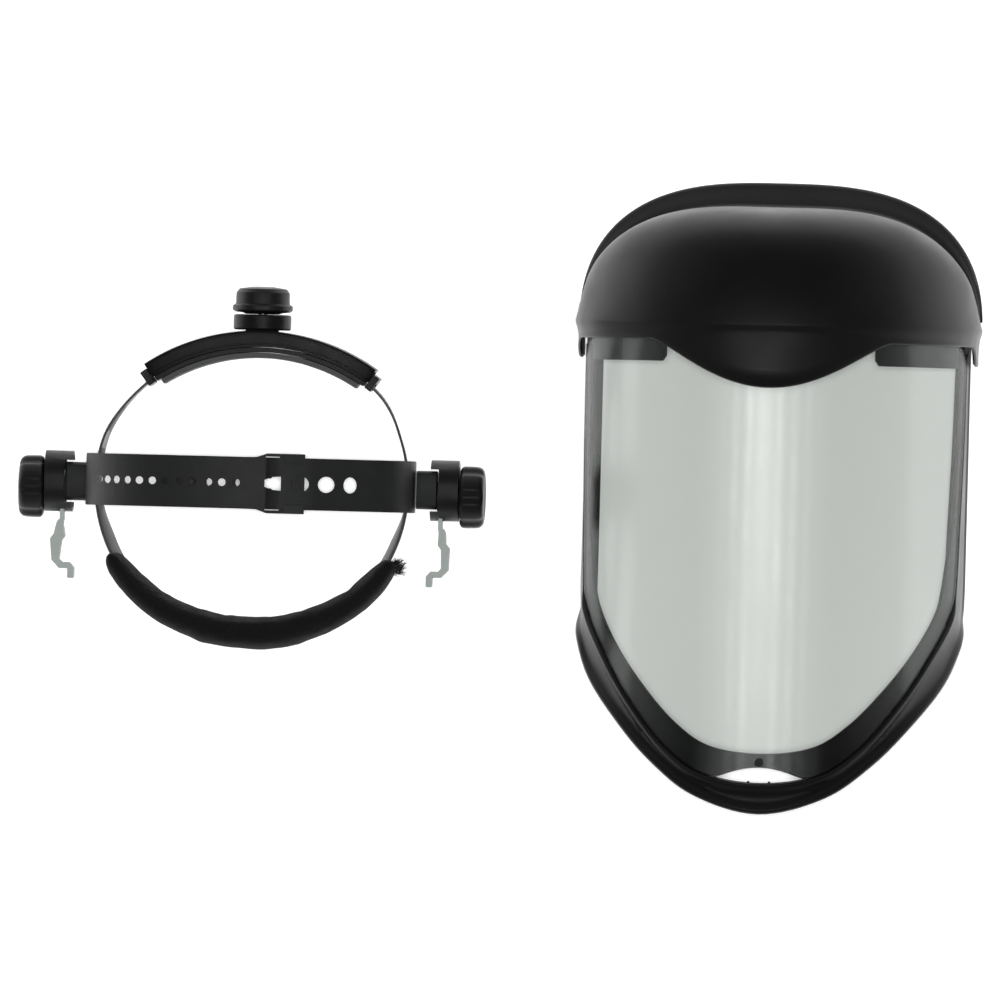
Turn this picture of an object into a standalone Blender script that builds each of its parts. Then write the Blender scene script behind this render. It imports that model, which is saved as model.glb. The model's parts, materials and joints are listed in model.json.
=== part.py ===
"""Industrial face shield with its ratchet headgear, laid side by side on a table.

The shield lies face up on its rear edges: brow guard towards +Y, chin towards -Y, front towards +Z.
The headgear stands beside it as it is worn: crown up, forehead pad towards -Y, ratchet knob towards +Y.
Units are metres. Each half is drawn in its own coordinates and hung on an empty at its place.
"""
import math

import bmesh
import bpy
from mathutils import Vector

MM = 0.001
GAP = 0.0003                      # clearance left between neighbouring pieces

# places of the two halves on the table
SHIELD_AT = (0.1585, -0.0055, 0.0)
HEADGEAR_AT = (-0.1407, -0.0055, 0.0)

# shield: the visor is a sheet bent round a vertical U of this radius, with straight legs
BEND_RADIUS = 0.108
BEND_HEIGHT = 0.040               # height of the bend's centre line above the table
QUARTER = BEND_RADIUS * math.pi / 2
REAR_EDGE = QUARTER + BEND_HEIGHT  # distance round the bend at which the leg meets the table
VISOR_THICKNESS = 0.001
PLATE_THICKNESS = 0.002
VISOR_TOP = 0.098
STEPS = 3                         # samples between two stations of a chin outline

# chin outlines, from the chin's centre round to the top of one side frame, in millimetres:
# (distance round the bend, height up the face)
WINDOW_EDGE = [(0, -140), (30, -136), (52, -123), (76, -102), (100, -79.5), (121, -58),
               (128, -45), (133, -30), (144, 0), (152, 40), (157, 90)]
RIDGE_LINE = [(0, -157), (33, -152), (57, -137), (84, -111), (110, -84), (132, -64),
              (143, -51), (147, -34), (151, 0), (157, 40), (162, 90)]
OUTER_EDGE = [(0, -174.5), (37, -165), (66, -146), (98, -120), (128, -97.5), (150, -80),
              (176, -65), (206, -50), (209.3, 0), (209.3, 45), (209.3, 100)]
VENT_HALF_WIDTH = 0.027
VENT_DEPTH = 0.0085

# brow guard
BROW_BASE = 0.104                 # height up the face of the ridge above the lip
BROW_HALF_WIDTH = 0.1155
BROW_RISE = 0.0815                # ridge to rear rim
BROW_WALL = 0.0022
BROW_CLEAR = 0.0033               # visor's inner face to the lip's inner face
LIP_EDGE = 0.094
BUMP_HALF_WIDTH = 0.065
BUMP_DROP = 0.0265
FLANGE_WIDTH = 0.0135
GROOVE_HEIGHT = 0.020
DOME_SQUARENESS = 0.36            # below 1, the dome stays high and turns down late
DOME_FALL = 0.13                  # share of its height that the dome has lost at its rear shoulder
SOCKET_FACE = 0.0985              # inner faces of the clip sockets, from the centre line

# headgear: a flat oval band round the head
BAND_HALF_WIDTH = 0.0893
BAND_CENTRE_Y = 0.005
BAND_FRONT = 0.0855
BAND_REAR = 0.079
BAND_MID_Z = 0.0175
BAND_HEIGHT = 0.020
BAND_THICKNESS = 0.0018
TEMPLE_Y = 0.018                  # where the rigid front band ends and the side straps begin

# crown strap
CROWN_Y = 0.006
CROWN_WIDTH = 0.0295
CROWN_HALF_SPAN = 0.0923
CROWN_LEG_TOP = 0.058
CROWN_RISE = 0.067
CROWN_THICKNESS = 0.0014

# rear adjuster, on an arc about the vertical line that the racks turn about
REAR_RADIUS = 0.1083
REAR_CENTRE_Y = -0.0243
REAR_HALF_ANGLE = math.radians(34.5)
REAR_SHIFT = 0.003                # the adjuster sits a little to the right of the band's centre line
RATCHET_Z = BAND_MID_Z
RATCHET_RADIUS = 0.0165

# tilt pivots
PIVOT_Y = 0.001
PIVOT_Z = 0.024
ARM_INNER = 0.0943
ARM_OUTER = 0.1060
HOUSING_INNER = 0.1025
HOUSING_OUTER = 0.1185
KNOB_INNER = 0.1190
KNOB_OUTER = 0.1335
BOLT_RADIUS = 0.0025
BOLT_HOLE = 0.0029

BLACK = (0.018, 0.018, 0.019)
SOFT_BLACK = (0.012, 0.012, 0.013)
DARK_GREY = (0.05, 0.05, 0.052)
MID_GREY = (0.28, 0.29, 0.28)
CLIP_GREY = (0.46, 0.50, 0.47)
STEEL = (0.45, 0.45, 0.46)
CLEAR = (0.80, 0.82, 0.80)


# ---------------------------------------------------------------- scene and object helpers

def clear_scene():
    for obj in list(bpy.data.objects):
        bpy.data.objects.remove(obj, do_unlink=True)


def make_material(name, color, roughness, metallic=0.0, alpha=1.0):
    mat = bpy.data.materials.new(name)
    mat.use_nodes = True
    shader = mat.node_tree.nodes["Principled BSDF"]
    shader.inputs["Base Color"].default_value = (*color, 1.0)
    shader.inputs["Roughness"].default_value = roughness
    shader.inputs["Metallic"].default_value = metallic
    shader.inputs["Alpha"].default_value = alpha
    return mat


def make_empty(name, location, parent=None):
    empty = bpy.data.objects.new(name, None)
    bpy.context.scene.collection.objects.link(empty)
    empty.location = location
    empty.parent = parent
    return empty


def make_mesh(name, solids, anchor=(0, 0, 0)):
    """One mesh from a list of (points, faces) solids, with its origin at anchor."""
    mesh = bpy.data.meshes.new(name)
    points = []
    faces = []
    for solid_points, solid_faces in solids:
        start = len(points)
        points.extend(Vector(p) - Vector(anchor) for p in solid_points)
        faces.extend([index + start for index in face] for face in solid_faces)
    mesh.from_pydata(points, [], faces)
    build = bmesh.new()
    build.from_mesh(mesh)
    corners = [face for face in build.faces if len(face.verts) > 4]
    bmesh.ops.triangulate(build, faces=corners)
    bmesh.ops.recalc_face_normals(build, faces=build.faces)
    build.to_mesh(mesh)
    build.free()
    return mesh


def add_part(name, solids, material, parent, anchor=(0, 0, 0), smooth_angle=35):
    mesh = make_mesh(name, solids, anchor)
    mesh.materials.append(material)
    mesh.shade_smooth()
    mesh.set_sharp_from_angle(angle=math.radians(smooth_angle))
    obj = bpy.data.objects.new(name, mesh)
    bpy.context.scene.collection.objects.link(obj)
    obj.location = anchor
    obj.parent = parent
    return obj


def add_boolean(obj, solids, operation="DIFFERENCE"):
    """Cut the given solids out of the object, or union them onto it."""
    label = f"{obj.name}_{operation.lower()}_{len(obj.modifiers)}"
    tool = bpy.data.objects.new(label, make_mesh(label, solids))
    bpy.context.scene.collection.objects.link(tool)
    tool.parent = obj.parent
    tool.hide_render = True
    tool.display_type = "WIRE"
    modifier = obj.modifiers.new(operation.title(), "BOOLEAN")
    modifier.operation = operation
    modifier.solver = "EXACT"
    modifier.object = tool


# ---------------------------------------------------------------- solids from points

def thick_patch(outer, inner):
    """Closed solid between two grids of points of the same size."""
    rows = len(outer)
    cols = len(outer[0])
    points = [p for row in outer for p in row] + [p for row in inner for p in row]
    shift = rows * cols
    faces = []
    for i in range(rows - 1):
        for j in range(cols - 1):
            a = i * cols + j
            b = a + cols
            faces.append((a, b, b + 1, a + 1))
            faces.append((shift + a, shift + a + 1, shift + b + 1, shift + b))
    for i in range(rows - 1):
        for j in (0, cols - 1):
            a = i * cols + j
            faces.append((a, a + cols, a + cols + shift, a + shift))
    for j in range(cols - 1):
        for i in (0, rows - 1):
            a = i * cols + j
            faces.append((a, a + 1, a + 1 + shift, a + shift))
    return points, faces


def loft(rings, closed=False):
    """Solid through rings of points, capped at both ends or joined end to end."""
    count = len(rings[0])
    points = [p for ring in rings for p in ring]
    faces = []
    spans = len(rings) if closed else len(rings) - 1
    for i in range(spans):
        low = i * count
        high = ((i + 1) % len(rings)) * count
        for j in range(count):
            k = (j + 1) % count
            faces.append((low + j, low + k, high + k, high + j))
    if not closed:
        faces.append(tuple(range(count)))
        faces.append(tuple(range(len(points) - count, len(points))))
    return points, faces


def place(axis, centre, across, up, along):
    """A point at (across, up) in the plane normal to axis, and along it, from centre."""
    cx, cy, cz = centre
    if axis == "X":
        return Vector((cx + along, cy + across, cz + up))
    if axis == "Y":
        return Vector((cx + across, cy + along, cz + up))
    return Vector((cx + across, cy + up, cz + along))


def round_ring(axis, centre, radius, along, sides, shape=None):
    ring = []
    for index in range(sides):
        angle = 2 * math.pi * index / sides
        reach = radius * (shape(angle) if shape else 1.0)
        ring.append(place(axis, centre, reach * math.cos(angle), reach * math.sin(angle), along))
    return ring


def turned(axis, centre, profile, sides=24, closed=False, shape=None):
    """Turned solid: profile is a list of (radius, distance along the axis)."""
    rings = [round_ring(axis, centre, radius, along, sides, shape) for radius, along in profile]
    return loft(rings, closed)


def washer(axis, centre, inner, outer, low, high, sides=24):
    profile = [(inner, low), (outer, low), (outer, high), (inner, high)]
    return turned(axis, centre, profile, sides, closed=True)


def prism(axis, outline, low, high):
    """Outline points extruded along an axis; for X the outline is (y, z), Y (x, z), Z (x, y)."""
    rings = []
    for along in (low, high):
        rings.append([place(axis, (0, 0, 0), across, up, along) for across, up in outline])
    return loft(rings)


def block(low, high):
    outline = [(low[0], low[1]), (high[0], low[1]), (high[0], high[1]), (low[0], high[1])]
    return prism("Z", outline, low[2], high[2])


def rounded_box(centre, half, radius, steps=3):
    """Outline of a rectangle with round corners, anticlockwise."""
    outline = []
    for quarter, (sx, sy) in enumerate([(1, 1), (-1, 1), (-1, -1), (1, -1)]):
        for step in range(steps + 1):
            angle = math.pi / 2 * (quarter + step / steps)
            outline.append((centre[0] + sx * (half[0] - radius) + radius * math.cos(angle),
                            centre[1] + sy * (half[1] - radius) + radius * math.sin(angle)))
    return outline


def ribbon_outline(path, half_thickness):
    """Outline of a constant-thickness ribbon that follows an open 2-D path."""
    left = []
    right = []
    for index, point in enumerate(path):
        before = Vector(path[max(index - 1, 0)])
        after = Vector(path[min(index + 1, len(path) - 1)])
        here = Vector(point)
        ahead = (after - here).normalized() if index < len(path) - 1 else (here - before).normalized()
        behind = (here - before).normalized() if index > 0 else ahead
        tangent = (ahead + behind).normalized()
        normal = Vector((-tangent.y, tangent.x))
        stretch = half_thickness / max(normal.dot(Vector((-ahead.y, ahead.x))), 0.5)
        left.append(tuple(here + normal * stretch))
        right.append(tuple(here - normal * stretch))
    return left + right[::-1]


def smooth_curve(points, steps):
    """Catmull-Rom curve through 2-D points in millimetres, returned in metres.

    The first point lies on the centre line, so the curve leaves it level.
    """
    result = []
    before_first = Vector((-points[1][0], points[1][1]))
    for index in range(len(points) - 1):
        p0 = Vector(points[index - 1]) if index else before_first
        p1 = Vector(points[index])
        p2 = Vector(points[index + 1])
        p3 = Vector(points[min(index + 2, len(points) - 1)])
        for step in range(steps):
            t = step / steps
            value = (2 * p1 + (p2 - p0) * t + (2 * p0 - 5 * p1 + 4 * p2 - p3) * t * t
                     + (3 * p1 - p0 - 3 * p2 + p3) * t ** 3) / 2
            result.append(value * MM)
    result.append(Vector(points[-1]) * MM)
    return result


def smoothstep(low, high, value):
    t = min(max((value - low) / (high - low), 0.0), 1.0)
    return t * t * (3 - 2 * t)


def mirrored(solid):
    """The same solid on the other side of the plane X = 0."""
    points, faces = solid
    return [Vector((-p[0], p[1], p[2])) for p in points], [tuple(reversed(f)) for f in faces]


def for_side(side, solid):
    return solid if side > 0 else mirrored(solid)


# ---------------------------------------------------------------- shield

def on_bend(around, up, out):
    """Point on the visor's surface: distance round the bend, height up the face, offset outward."""
    reach = BEND_RADIUS + out
    if abs(around) <= QUARTER:
        angle = around / BEND_RADIUS
        return Vector((reach * math.sin(angle), up, BEND_HEIGHT + reach * math.cos(angle)))
    leg = abs(around) - QUARTER
    return Vector((math.copysign(reach, around), up, BEND_HEIGHT - leg))


def both_sides(half):
    """A half outline starting on the centre line, continued onto the other side."""
    return [Vector((-p.x, p.y)) for p in half[:0:-1]] + half


def vent_gap(around):
    """Distance from the ridge to the edge of the plate and the visor, wider at the chin vent."""
    return 0.0005 + VENT_DEPTH * max(1 - (around / VENT_HALF_WIDTH) ** 2, 0.0)


def chin_lines():
    window = both_sides(smooth_curve(WINDOW_EDGE, STEPS))
    ridge = both_sides(smooth_curve(RIDGE_LINE, STEPS))
    outer = both_sides(smooth_curve(OUTER_EDGE, STEPS))
    sheet_edge = []
    for line, inner in zip(ridge, window):
        inward = (inner - line).normalized()
        sheet_edge.append(line + inward * vent_gap(line.x))
    return window, sheet_edge, ridge, outer


def chin_frame_ring(ridge, inward, outer):
    """Cross-section of the chin guard and side frame where it crosses one station."""
    width = (outer - ridge).length
    away = (outer - ridge) / width
    up = ridge.y
    chin = 1 - smoothstep(-0.062, -0.046, up)
    lift = 0.4 + 0.6 * chin
    ledge = 0.006 * smoothstep(0.028, 0.040, abs(ridge.x)) + 0.0004
    skirt = 0.007 + 0.009 * chin
    back = -0.0046
    front = [(-0.0003, -0.0027), (0.0, 0.0024 * lift), (0.0016, 0.0032 * lift),
             (0.0040, 0.0020 * lift), (0.55 * width, 0.0006), (width - 0.0052, 0.0014 * lift),
             (width - 0.0032, 0.0034 * lift), (width - 0.0010, 0.0034 * lift), (width, 0.0018 * lift)]
    behind = [(width, -skirt), (width - 0.0020, -skirt), (width - 0.0022, -0.0016),
              (0.55 * width, -0.0018), (0.0022, -0.0014), (0.0020, back)]
    ring = []
    for along, out in front + behind:
        flat = ridge + away * along
        ring.append(on_bend(flat.x, flat.y, out))
    for out in (back, -0.0027):
        flat = ridge + inward * ledge
        ring.append(on_bend(flat.x, flat.y, out))
    return ring


def make_chin_frame(parent, material):
    window, _, ridge, outer = chin_lines()
    rings = []
    for inner, line, edge in zip(window, ridge, outer):
        rings.append(chin_frame_ring(line, (inner - line).normalized(), edge))
    frame = add_part("chin_frame", [loft(rings)], material, parent)
    posts = []
    for around in (-0.006, 0.006):
        foot = on_bend(around, -0.1575, -0.0012)
        posts.append(turned("Y", foot, [(0.0009, 0.0), (0.0009, 0.0030), (0.0006, 0.0036)], 10))
    add_boolean(frame, posts, "UNION")
    return frame


def sheet(edge_rows, low, high):
    outer = [[on_bend(p.x, p.y, high) for p in row] for row in edge_rows]
    inner = [[on_bend(p.x, p.y, low) for p in row] for row in edge_rows]
    return thick_patch(outer, inner)


def between(a, b, count):
    return [a.lerp(b, index / count) for index in range(count + 1)]


def stud_holes(spots, radius, low, high):
    """Cylinders square to the bend at the given (around, up) spots."""
    result = []
    for around, up in spots:
        angle = around / BEND_RADIUS
        normal = Vector((math.sin(angle), 0, math.cos(angle)))
        side = Vector((math.cos(angle), 0, -math.sin(angle)))
        centre = on_bend(around, up, 0)
        rings = []
        for out in (low, high):
            rings.append([centre + normal * out + side * (radius * math.cos(a))
                          + Vector((0, radius * math.sin(a), 0))
                          for a in (2 * math.pi * k / 16 for k in range(16))])
        result.append(loft(rings))
    return result


CHIN_STUD = (0.0, -0.1450)
STUD_RADIUS = 0.0016
BROW_STUDS = [(-0.128, 0.0965), (-0.084, 0.0965), (0.084, 0.0965), (0.128, 0.0965)]


def make_inner_plate(parent, material):
    window, sheet_edge, _, _ = chin_lines()
    rows = [between(a, b, 3) for a, b in zip(window, sheet_edge)]
    plate = add_part("inner_chin_plate", [sheet(rows, -GAP - PLATE_THICKNESS, -GAP)], material, parent)
    add_boolean(plate, stud_holes([CHIN_STUD], STUD_RADIUS + GAP, -0.006, 0.004))


def make_visor(parent, material):
    _, sheet_edge, _, _ = chin_lines()
    last = len(sheet_edge) - 1
    reach = sheet_edge[last].x
    rows = []
    for index, edge in enumerate(sheet_edge):
        top = Vector((reach * (2 * index / last - 1), VISOR_TOP))
        rows.append(between(edge, top, 5))
    visor = add_part("visor", [sheet(rows, 0.0, VISOR_THICKNESS)], material, parent)
    holes = stud_holes([CHIN_STUD] + BROW_STUDS, STUD_RADIUS + GAP, -0.004, 0.004)
    add_boolean(visor, holes)


def make_chin_stud(parent, material):
    plate_back = -GAP - PLATE_THICKNESS
    shaft = stud_holes([CHIN_STUD], STUD_RADIUS, plate_back - GAP - 0.001, VISOR_THICKNESS + 0.001)
    stud = add_part("chin_snap_stud", shaft, material, parent)
    heads = stud_holes([CHIN_STUD], 0.0026, VISOR_THICKNESS + GAP, VISOR_THICKNESS + 0.0016)
    feet = stud_holes([CHIN_STUD], 0.0024, plate_back - GAP - 0.0014, plate_back - GAP)
    add_boolean(stud, heads + feet, "UNION")


def make_brow_studs(parent, material):
    """Pegs that hold the visor's top edge between the retainers and the brow guard."""
    for index, spot in enumerate(BROW_STUDS):
        shaft = stud_holes([spot], STUD_RADIUS, 0.0, BROW_CLEAR - GAP)
        add_part(f"visor_stud_{index + 1}", shaft, material, parent)


def make_visor_retainer(side, parent, material):
    """Tab behind the visor's top corner, with one round lower corner."""
    name = "right_visor_retainer" if side > 0 else "left_visor_retainer"
    rows = []
    for around in [0.0640, 0.0648, 0.0665] + [0.0665 + 0.0085 * k for k in range(1, 10)]:
        low = 0.0815 + 0.003 * max(1 - (around - 0.0640) / 0.0025, 0.0)
        rows.append([Vector((side * around, up)) for up in (low, 0.090, 0.104)])
    tab = [sheet(rows, -GAP - 0.0022, -GAP)]
    add_part(name, tab, material, parent)


def lip_edge(around):
    """Height of the brow guard's lower edge, with the rounded pad at its centre."""
    across = BEND_RADIUS * math.sin(min(abs(around) / BEND_RADIUS, math.pi / 2))
    bump = max(1 - (across / BUMP_HALF_WIDTH) ** 2, 0.0) ** 1.3
    return LIP_EDGE - BUMP_DROP * bump - 0.011 * smoothstep(0.150, 0.180, abs(around))


def rim_point(turn):
    """Rear rim of the brow guard: turn runs from 0 at the crown to 1 at the lower corner."""
    angle = math.pi / 2 * (1 - abs(turn))
    across = BROW_HALF_WIDTH * max(math.cos(angle), 0.0) ** (2 / 2.9)
    rise = BROW_RISE * max(math.sin(angle), 0.0) ** (2 / 2.3)
    return Vector((math.copysign(across, turn), BROW_BASE + rise, 0.0))


def rim_turn(around):
    """The rim position that faces a place on the lip."""
    if abs(around) >= QUARTER:
        turn = 0.80 + 0.19 * (abs(around) - QUARTER) / (REAR_EDGE - QUARTER)
    else:
        across = math.sin(abs(around) / BEND_RADIUS)
        turn = 0.80 * (2 / math.pi) * math.asin(min(across, 1.0)) * 0.55 + 0.80 * 0.45 * across ** 2.2
    return math.copysign(turn, around)


def brow_row(around):
    """Outer surface of the brow guard from its lower edge over the dome to the rear rim."""
    low = lip_edge(around)
    row = [on_bend(around, low, BROW_CLEAR + BROW_WALL),
           on_bend(around, (low + 0.0985) / 2, BROW_CLEAR + BROW_WALL + 0.0002),
           on_bend(around, 0.0985, BROW_CLEAR + BROW_WALL + 0.0008),
           on_bend(around, 0.1015, BROW_CLEAR + BROW_WALL + 0.0018)]
    start = on_bend(around, BROW_BASE, BROW_CLEAR + BROW_WALL + 0.0022)
    row.append(start)
    turn = rim_turn(around)
    rim = rim_point(turn)
    crown = math.cos(math.pi / 2 * min(abs(turn), 1.0))
    flange = 0.0022 + (FLANGE_WIDTH - 0.0022) * crown
    centre = Vector((0, BROW_BASE - 0.03, 0))
    inward = (centre - rim).normalized()
    height = min(GROOVE_HEIGHT * (0.25 + 0.75 * crown), start.z * 0.45)
    groove = rim + inward * (flange + 0.0010) + Vector((0, 0, height))
    corner = Vector(((start.x + groove.x) / 2, BROW_BASE, groove.z))
    for step in range(1, 11):
        angle = math.pi / 2 * step / 10
        run = math.sin(angle) ** DOME_SQUARENESS
        rise = math.cos(angle) ** DOME_SQUARENESS * (1 - DOME_FALL * run)
        row.append(corner + (start - corner) * rise + (groove - corner) * run)
    row.append(groove - inward * 0.0012 - Vector((0, 0, height * 0.18)))
    row.append(rim + inward * (0.30 * flange) + Vector((0, 0, height * 0.42)))
    row.append(rim + inward * 0.0008 + Vector((0, 0, height * 0.30 + 0.0004)))
    row.append(rim)
    return row


def offset_grid(grid, depth):
    """The same grid moved inward along its own normals."""
    rows = len(grid)
    cols = len(grid[0])
    result = []
    for i in range(rows):
        row = []
        for j in range(cols):
            along = grid[min(i + 1, rows - 1)][j] - grid[max(i - 1, 0)][j]
            across = grid[i][min(j + 1, cols - 1)] - grid[i][max(j - 1, 0)]
            normal = along.cross(across).normalized()
            row.append(grid[i][j] - normal * depth)
        result.append(row)
    return result


def make_brow_guard(parent, material):
    reach = REAR_EDGE - 0.003
    half = [reach * (stop / 19) ** 0.96 for stop in range(20)]
    arounds = [-value for value in half[:0:-1]] + half
    outer = [brow_row(around) for around in arounds]
    inner = offset_grid(outer, BROW_WALL)
    for row in inner:
        for point in row:
            point.z = max(point.z, 0.0)
    add_part("brow_guard", [thick_patch(outer, inner)], material, parent)


def make_clip_socket(side, parent, material):
    """Block on the inside of the brow guard with the slot that takes the headgear's clip."""
    name = "right_clip_socket" if side > 0 else "left_clip_socket"
    outline = rounded_box((0.119, 0.0200), (0.0085, 0.0110), 0.002)
    socket = for_side(side, prism("X", outline, SOCKET_FACE, SOCKET_FACE + 0.0050))
    obj = add_part(name, [socket], material, parent)
    slot = for_side(side, block((SOCKET_FACE - 0.001, 0.1160, 0.0140),
                                (SOCKET_FACE + 0.0030, 0.1220, 0.0260)))
    add_boolean(obj, [slot])


def make_shield(black, plate_black, clear):
    base = make_empty("shield_origin", SHIELD_AT)
    make_brow_guard(base, black)
    make_chin_frame(base, black)
    make_inner_plate(base, plate_black)
    make_visor(base, clear)
    make_chin_stud(base, plate_black)
    make_brow_studs(base, plate_black)
    for side in (-1, 1):
        make_visor_retainer(side, base, plate_black)
        make_clip_socket(side, base, plate_black)


# ---------------------------------------------------------------- headband

def band_point(angle):
    """Middle line of the band; the angle is 0 at the right temple and positive to the rear."""
    reach = BAND_REAR if angle >= 0 else BAND_FRONT
    across = math.copysign(abs(math.cos(angle)) ** 0.94, math.cos(angle))
    along = math.copysign(abs(math.sin(angle)) ** 0.94, math.sin(angle))
    return Vector((BAND_HALF_WIDTH * across, BAND_CENTRE_Y + reach * along))


def band_angle(up):
    """Angle of the right-hand band point at this height, on the rear half."""
    return math.asin(((up - BAND_CENTRE_Y) / BAND_REAR) ** (1 / 0.94))


def path_frames(path):
    """Each point of a plan path with its outward normal (to the right of the travel)."""
    frames = []
    for index, point in enumerate(path):
        tangent = (path[min(index + 1, len(path) - 1)] - path[max(index - 1, 0)]).normalized()
        frames.append((point, Vector((tangent.y, -tangent.x))))
    return frames


def strap_ring(point, normal, section):
    """Section is a list of (outward offset, height)."""
    return [Vector((point.x + normal.x * out, point.y + normal.y * out, up)) for out, up in section]


def flat_section(thickness, low, high):
    half = thickness / 2
    return [(-half, low), (half, low), (half, high), (-half, high)]


def front_band_path(count):
    """From the left temple round the forehead to the right temple."""
    limit = band_angle(TEMPLE_Y)
    start = -math.pi - limit
    return [band_point_any(start + (limit - start) * k / count) for k in range(count + 1)]


def band_point_any(angle):
    """band_point for angles below -pi, which lie behind the left temple."""
    if angle < -math.pi:
        return band_point(angle + 2 * math.pi)
    return band_point(angle)


def make_front_band(parent, material):
    rings = []
    for point, normal in path_frames(front_band_path(40)):
        flare = 0.003 * smoothstep(-0.030, 0.005, point.y)
        low = BAND_MID_Z - BAND_HEIGHT / 2 - flare
        high = BAND_MID_Z + BAND_HEIGHT / 2 + flare
        rings.append(strap_ring(point, normal, flat_section(BAND_THICKNESS, low, high)))
    add_part("front_headband", [loft(rings)], material, parent)


def make_side_strap(side, parent, material):
    """Thin strap from the temple to the rear cover; it bends as the band is adjusted."""
    name = "right_side_strap" if side > 0 else "left_side_strap"
    start = band_angle(TEMPLE_Y) + 0.006
    finish = band_angle(0.0625)
    path = []
    for k in range(11):
        point = band_point(start + (finish - start) * k / 10)
        lean = REAR_SHIFT * smoothstep(0.030, 0.062, point.y)
        path.append(Vector((side * point.x + lean, point.y)))
    rings = []
    for index, (point, normal) in enumerate(path_frames(path)):
        half = 0.0130 - 0.0045 * smoothstep(0, 5, index)
        section = flat_section(BAND_THICKNESS - 0.0004, BAND_MID_Z - half, BAND_MID_Z + half)
        rings.append(strap_ring(point, normal, section))
    add_part(name, [loft(rings)], material, parent)


def make_sweatband(parent, material):
    """Padded cover folded over the front band, open along its underside."""
    start = math.radians(-27)
    finish = math.radians(-153)
    path = [band_point(start + (finish - start) * k / 28) for k in range(29)]
    slot = BAND_THICKNESS / 2 + 0.0008
    rings = []
    for index, (point, normal) in enumerate(path_frames(path)):
        middle = math.sin(math.pi * index / 28)
        fat = 0.0062 + 0.0026 * middle ** 0.5
        top = 0.0335 + 0.0015 * middle
        section = [(slot, 0.0015), (fat * 0.8, 0.0), (fat, 0.006), (fat, top - 0.006), (fat * 0.6, top),
                   (-fat * 0.6, top), (-fat, top - 0.006), (-fat, 0.006), (-fat * 0.8, 0.0),
                   (-slot, 0.0015), (-slot, 0.0292), (slot, 0.0292)]
        rings.append(strap_ring(point, normal, section))
    add_part("sweatband_pad", [loft(rings)], material, parent)


# ---------------------------------------------------------------- crown strap

def crown_point(travel):
    """Middle line of the crown strap in the X-Z plane; travel 0 is the right end, 1 the left end."""
    angle = math.pi * travel
    across = math.copysign(abs(math.cos(angle)) ** 0.9, math.cos(angle))
    return Vector((CROWN_HALF_SPAN * across, CROWN_LEG_TOP + CROWN_RISE * math.sin(angle) ** 0.9))


def crown_arch(first, last, count):
    return [crown_point(first + (last - first) * k / count) for k in range(count + 1)]


def travel_at(across):
    """Travel at which the crown strap stands over this X."""
    ratio = math.copysign(abs(across / CROWN_HALF_SPAN) ** (1 / 0.9), across)
    return math.acos(ratio) / math.pi


def strap_over_head(path, offset_at, half_width_at):
    """Flat strap that follows a path in the X-Z plane, moved outward and widened along its way."""
    rings = []
    for index, point in enumerate(path):
        tangent = (path[min(index + 1, len(path) - 1)] - path[max(index - 1, 0)]).normalized()
        normal = Vector((tangent.y, -tangent.x))
        middle = point + normal * offset_at(point)
        half = half_width_at(point)
        ring = []
        for side, out in ((-1, -1), (1, -1), (1, 1), (-1, 1)):
            spot = middle + normal * (out * CROWN_THICKNESS / 2)
            ring.append(Vector((spot.x, CROWN_Y + side * half, spot.y)))
        rings.append(ring)
    return loft(rings)


def hole_through(across, radius, stretch=1.0):
    """Vertical cutter through the crown strap."""
    rings = []
    for up in (0.060, 0.150):
        ring = []
        for k in range(16):
            angle = 2 * math.pi * k / 16
            ring.append(Vector((across + radius * stretch * math.cos(angle),
                                CROWN_Y + radius * math.sin(angle), up)))
        rings.append(ring)
    return loft(rings)


SMALL_HOLE = 0.0022
LARGE_HOLE = 0.0046
LARGE_HOLES = [(0.0330, 1.1), (0.0476, 1.0), (0.0608, 0.8)]   # place across, stretch along X
KEEPER_START = 0.0112
KEEPER_END = 0.0353
SLOT_LOW = 0.0132
SLOT_HIGH = 0.0212
KEYHOLE = [(0.0127, 0.0020), (0.0150, 0.0028), (0.0165, 0.0028), (0.0172, 0.0036), (0.0222, 0.0040)]
OPEN_HOLES = [-0.0830, -0.0782, -0.0727, -0.0661, -0.0592, -0.0516, -0.0192, -0.0115, -0.0034]
BLIND_HOLES = [-0.0440, -0.0355]
STUD_AT = -0.0284
TONGUE_END = -0.0485
TONGUE_HOLES = [-0.0175, -0.0113, -0.0010]


def keyhole():
    """Cutter for the stepped hole where one strap dives under the other."""
    edge = [(across, CROWN_Y + half) for across, half in KEYHOLE]
    edge += [(across, CROWN_Y - half) for across, half in reversed(KEYHOLE)]
    return prism("Z", edge, 0.10, 0.15)


def make_left_crown_strap(parent, material):
    """Strap with the row of holes; its widened end holds the other strap in a slot."""
    leg = [Vector((-CROWN_HALF_SPAN, up)) for up in (0.0100, 0.0250, 0.0420)]
    arch = crown_arch(travel_at(KEEPER_END), 1.0, 34)
    path = arch + leg[::-1]

    def half_width(point):
        return CROWN_WIDTH / 2 + 0.0023 * smoothstep(KEEPER_START - 0.004, KEEPER_START + 0.002, point.x)

    strap = add_part("left_crown_strap", [strap_over_head(path, lambda p: 0.0, half_width)],
                     material, parent)
    holes = [hole_through(across, SMALL_HOLE, 0.8 if across < -0.065 else 1.0)
             for across in OPEN_HOLES + BLIND_HOLES + [STUD_AT]]
    add_boolean(strap, holes)
    half_slot = CROWN_WIDTH / 2 + 0.0005
    slot = block((SLOT_LOW, CROWN_Y - half_slot, 0.10), (SLOT_HIGH, CROWN_Y + half_slot, 0.15))
    add_boolean(strap, [slot])
    add_boolean(strap, [keyhole()])


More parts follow.
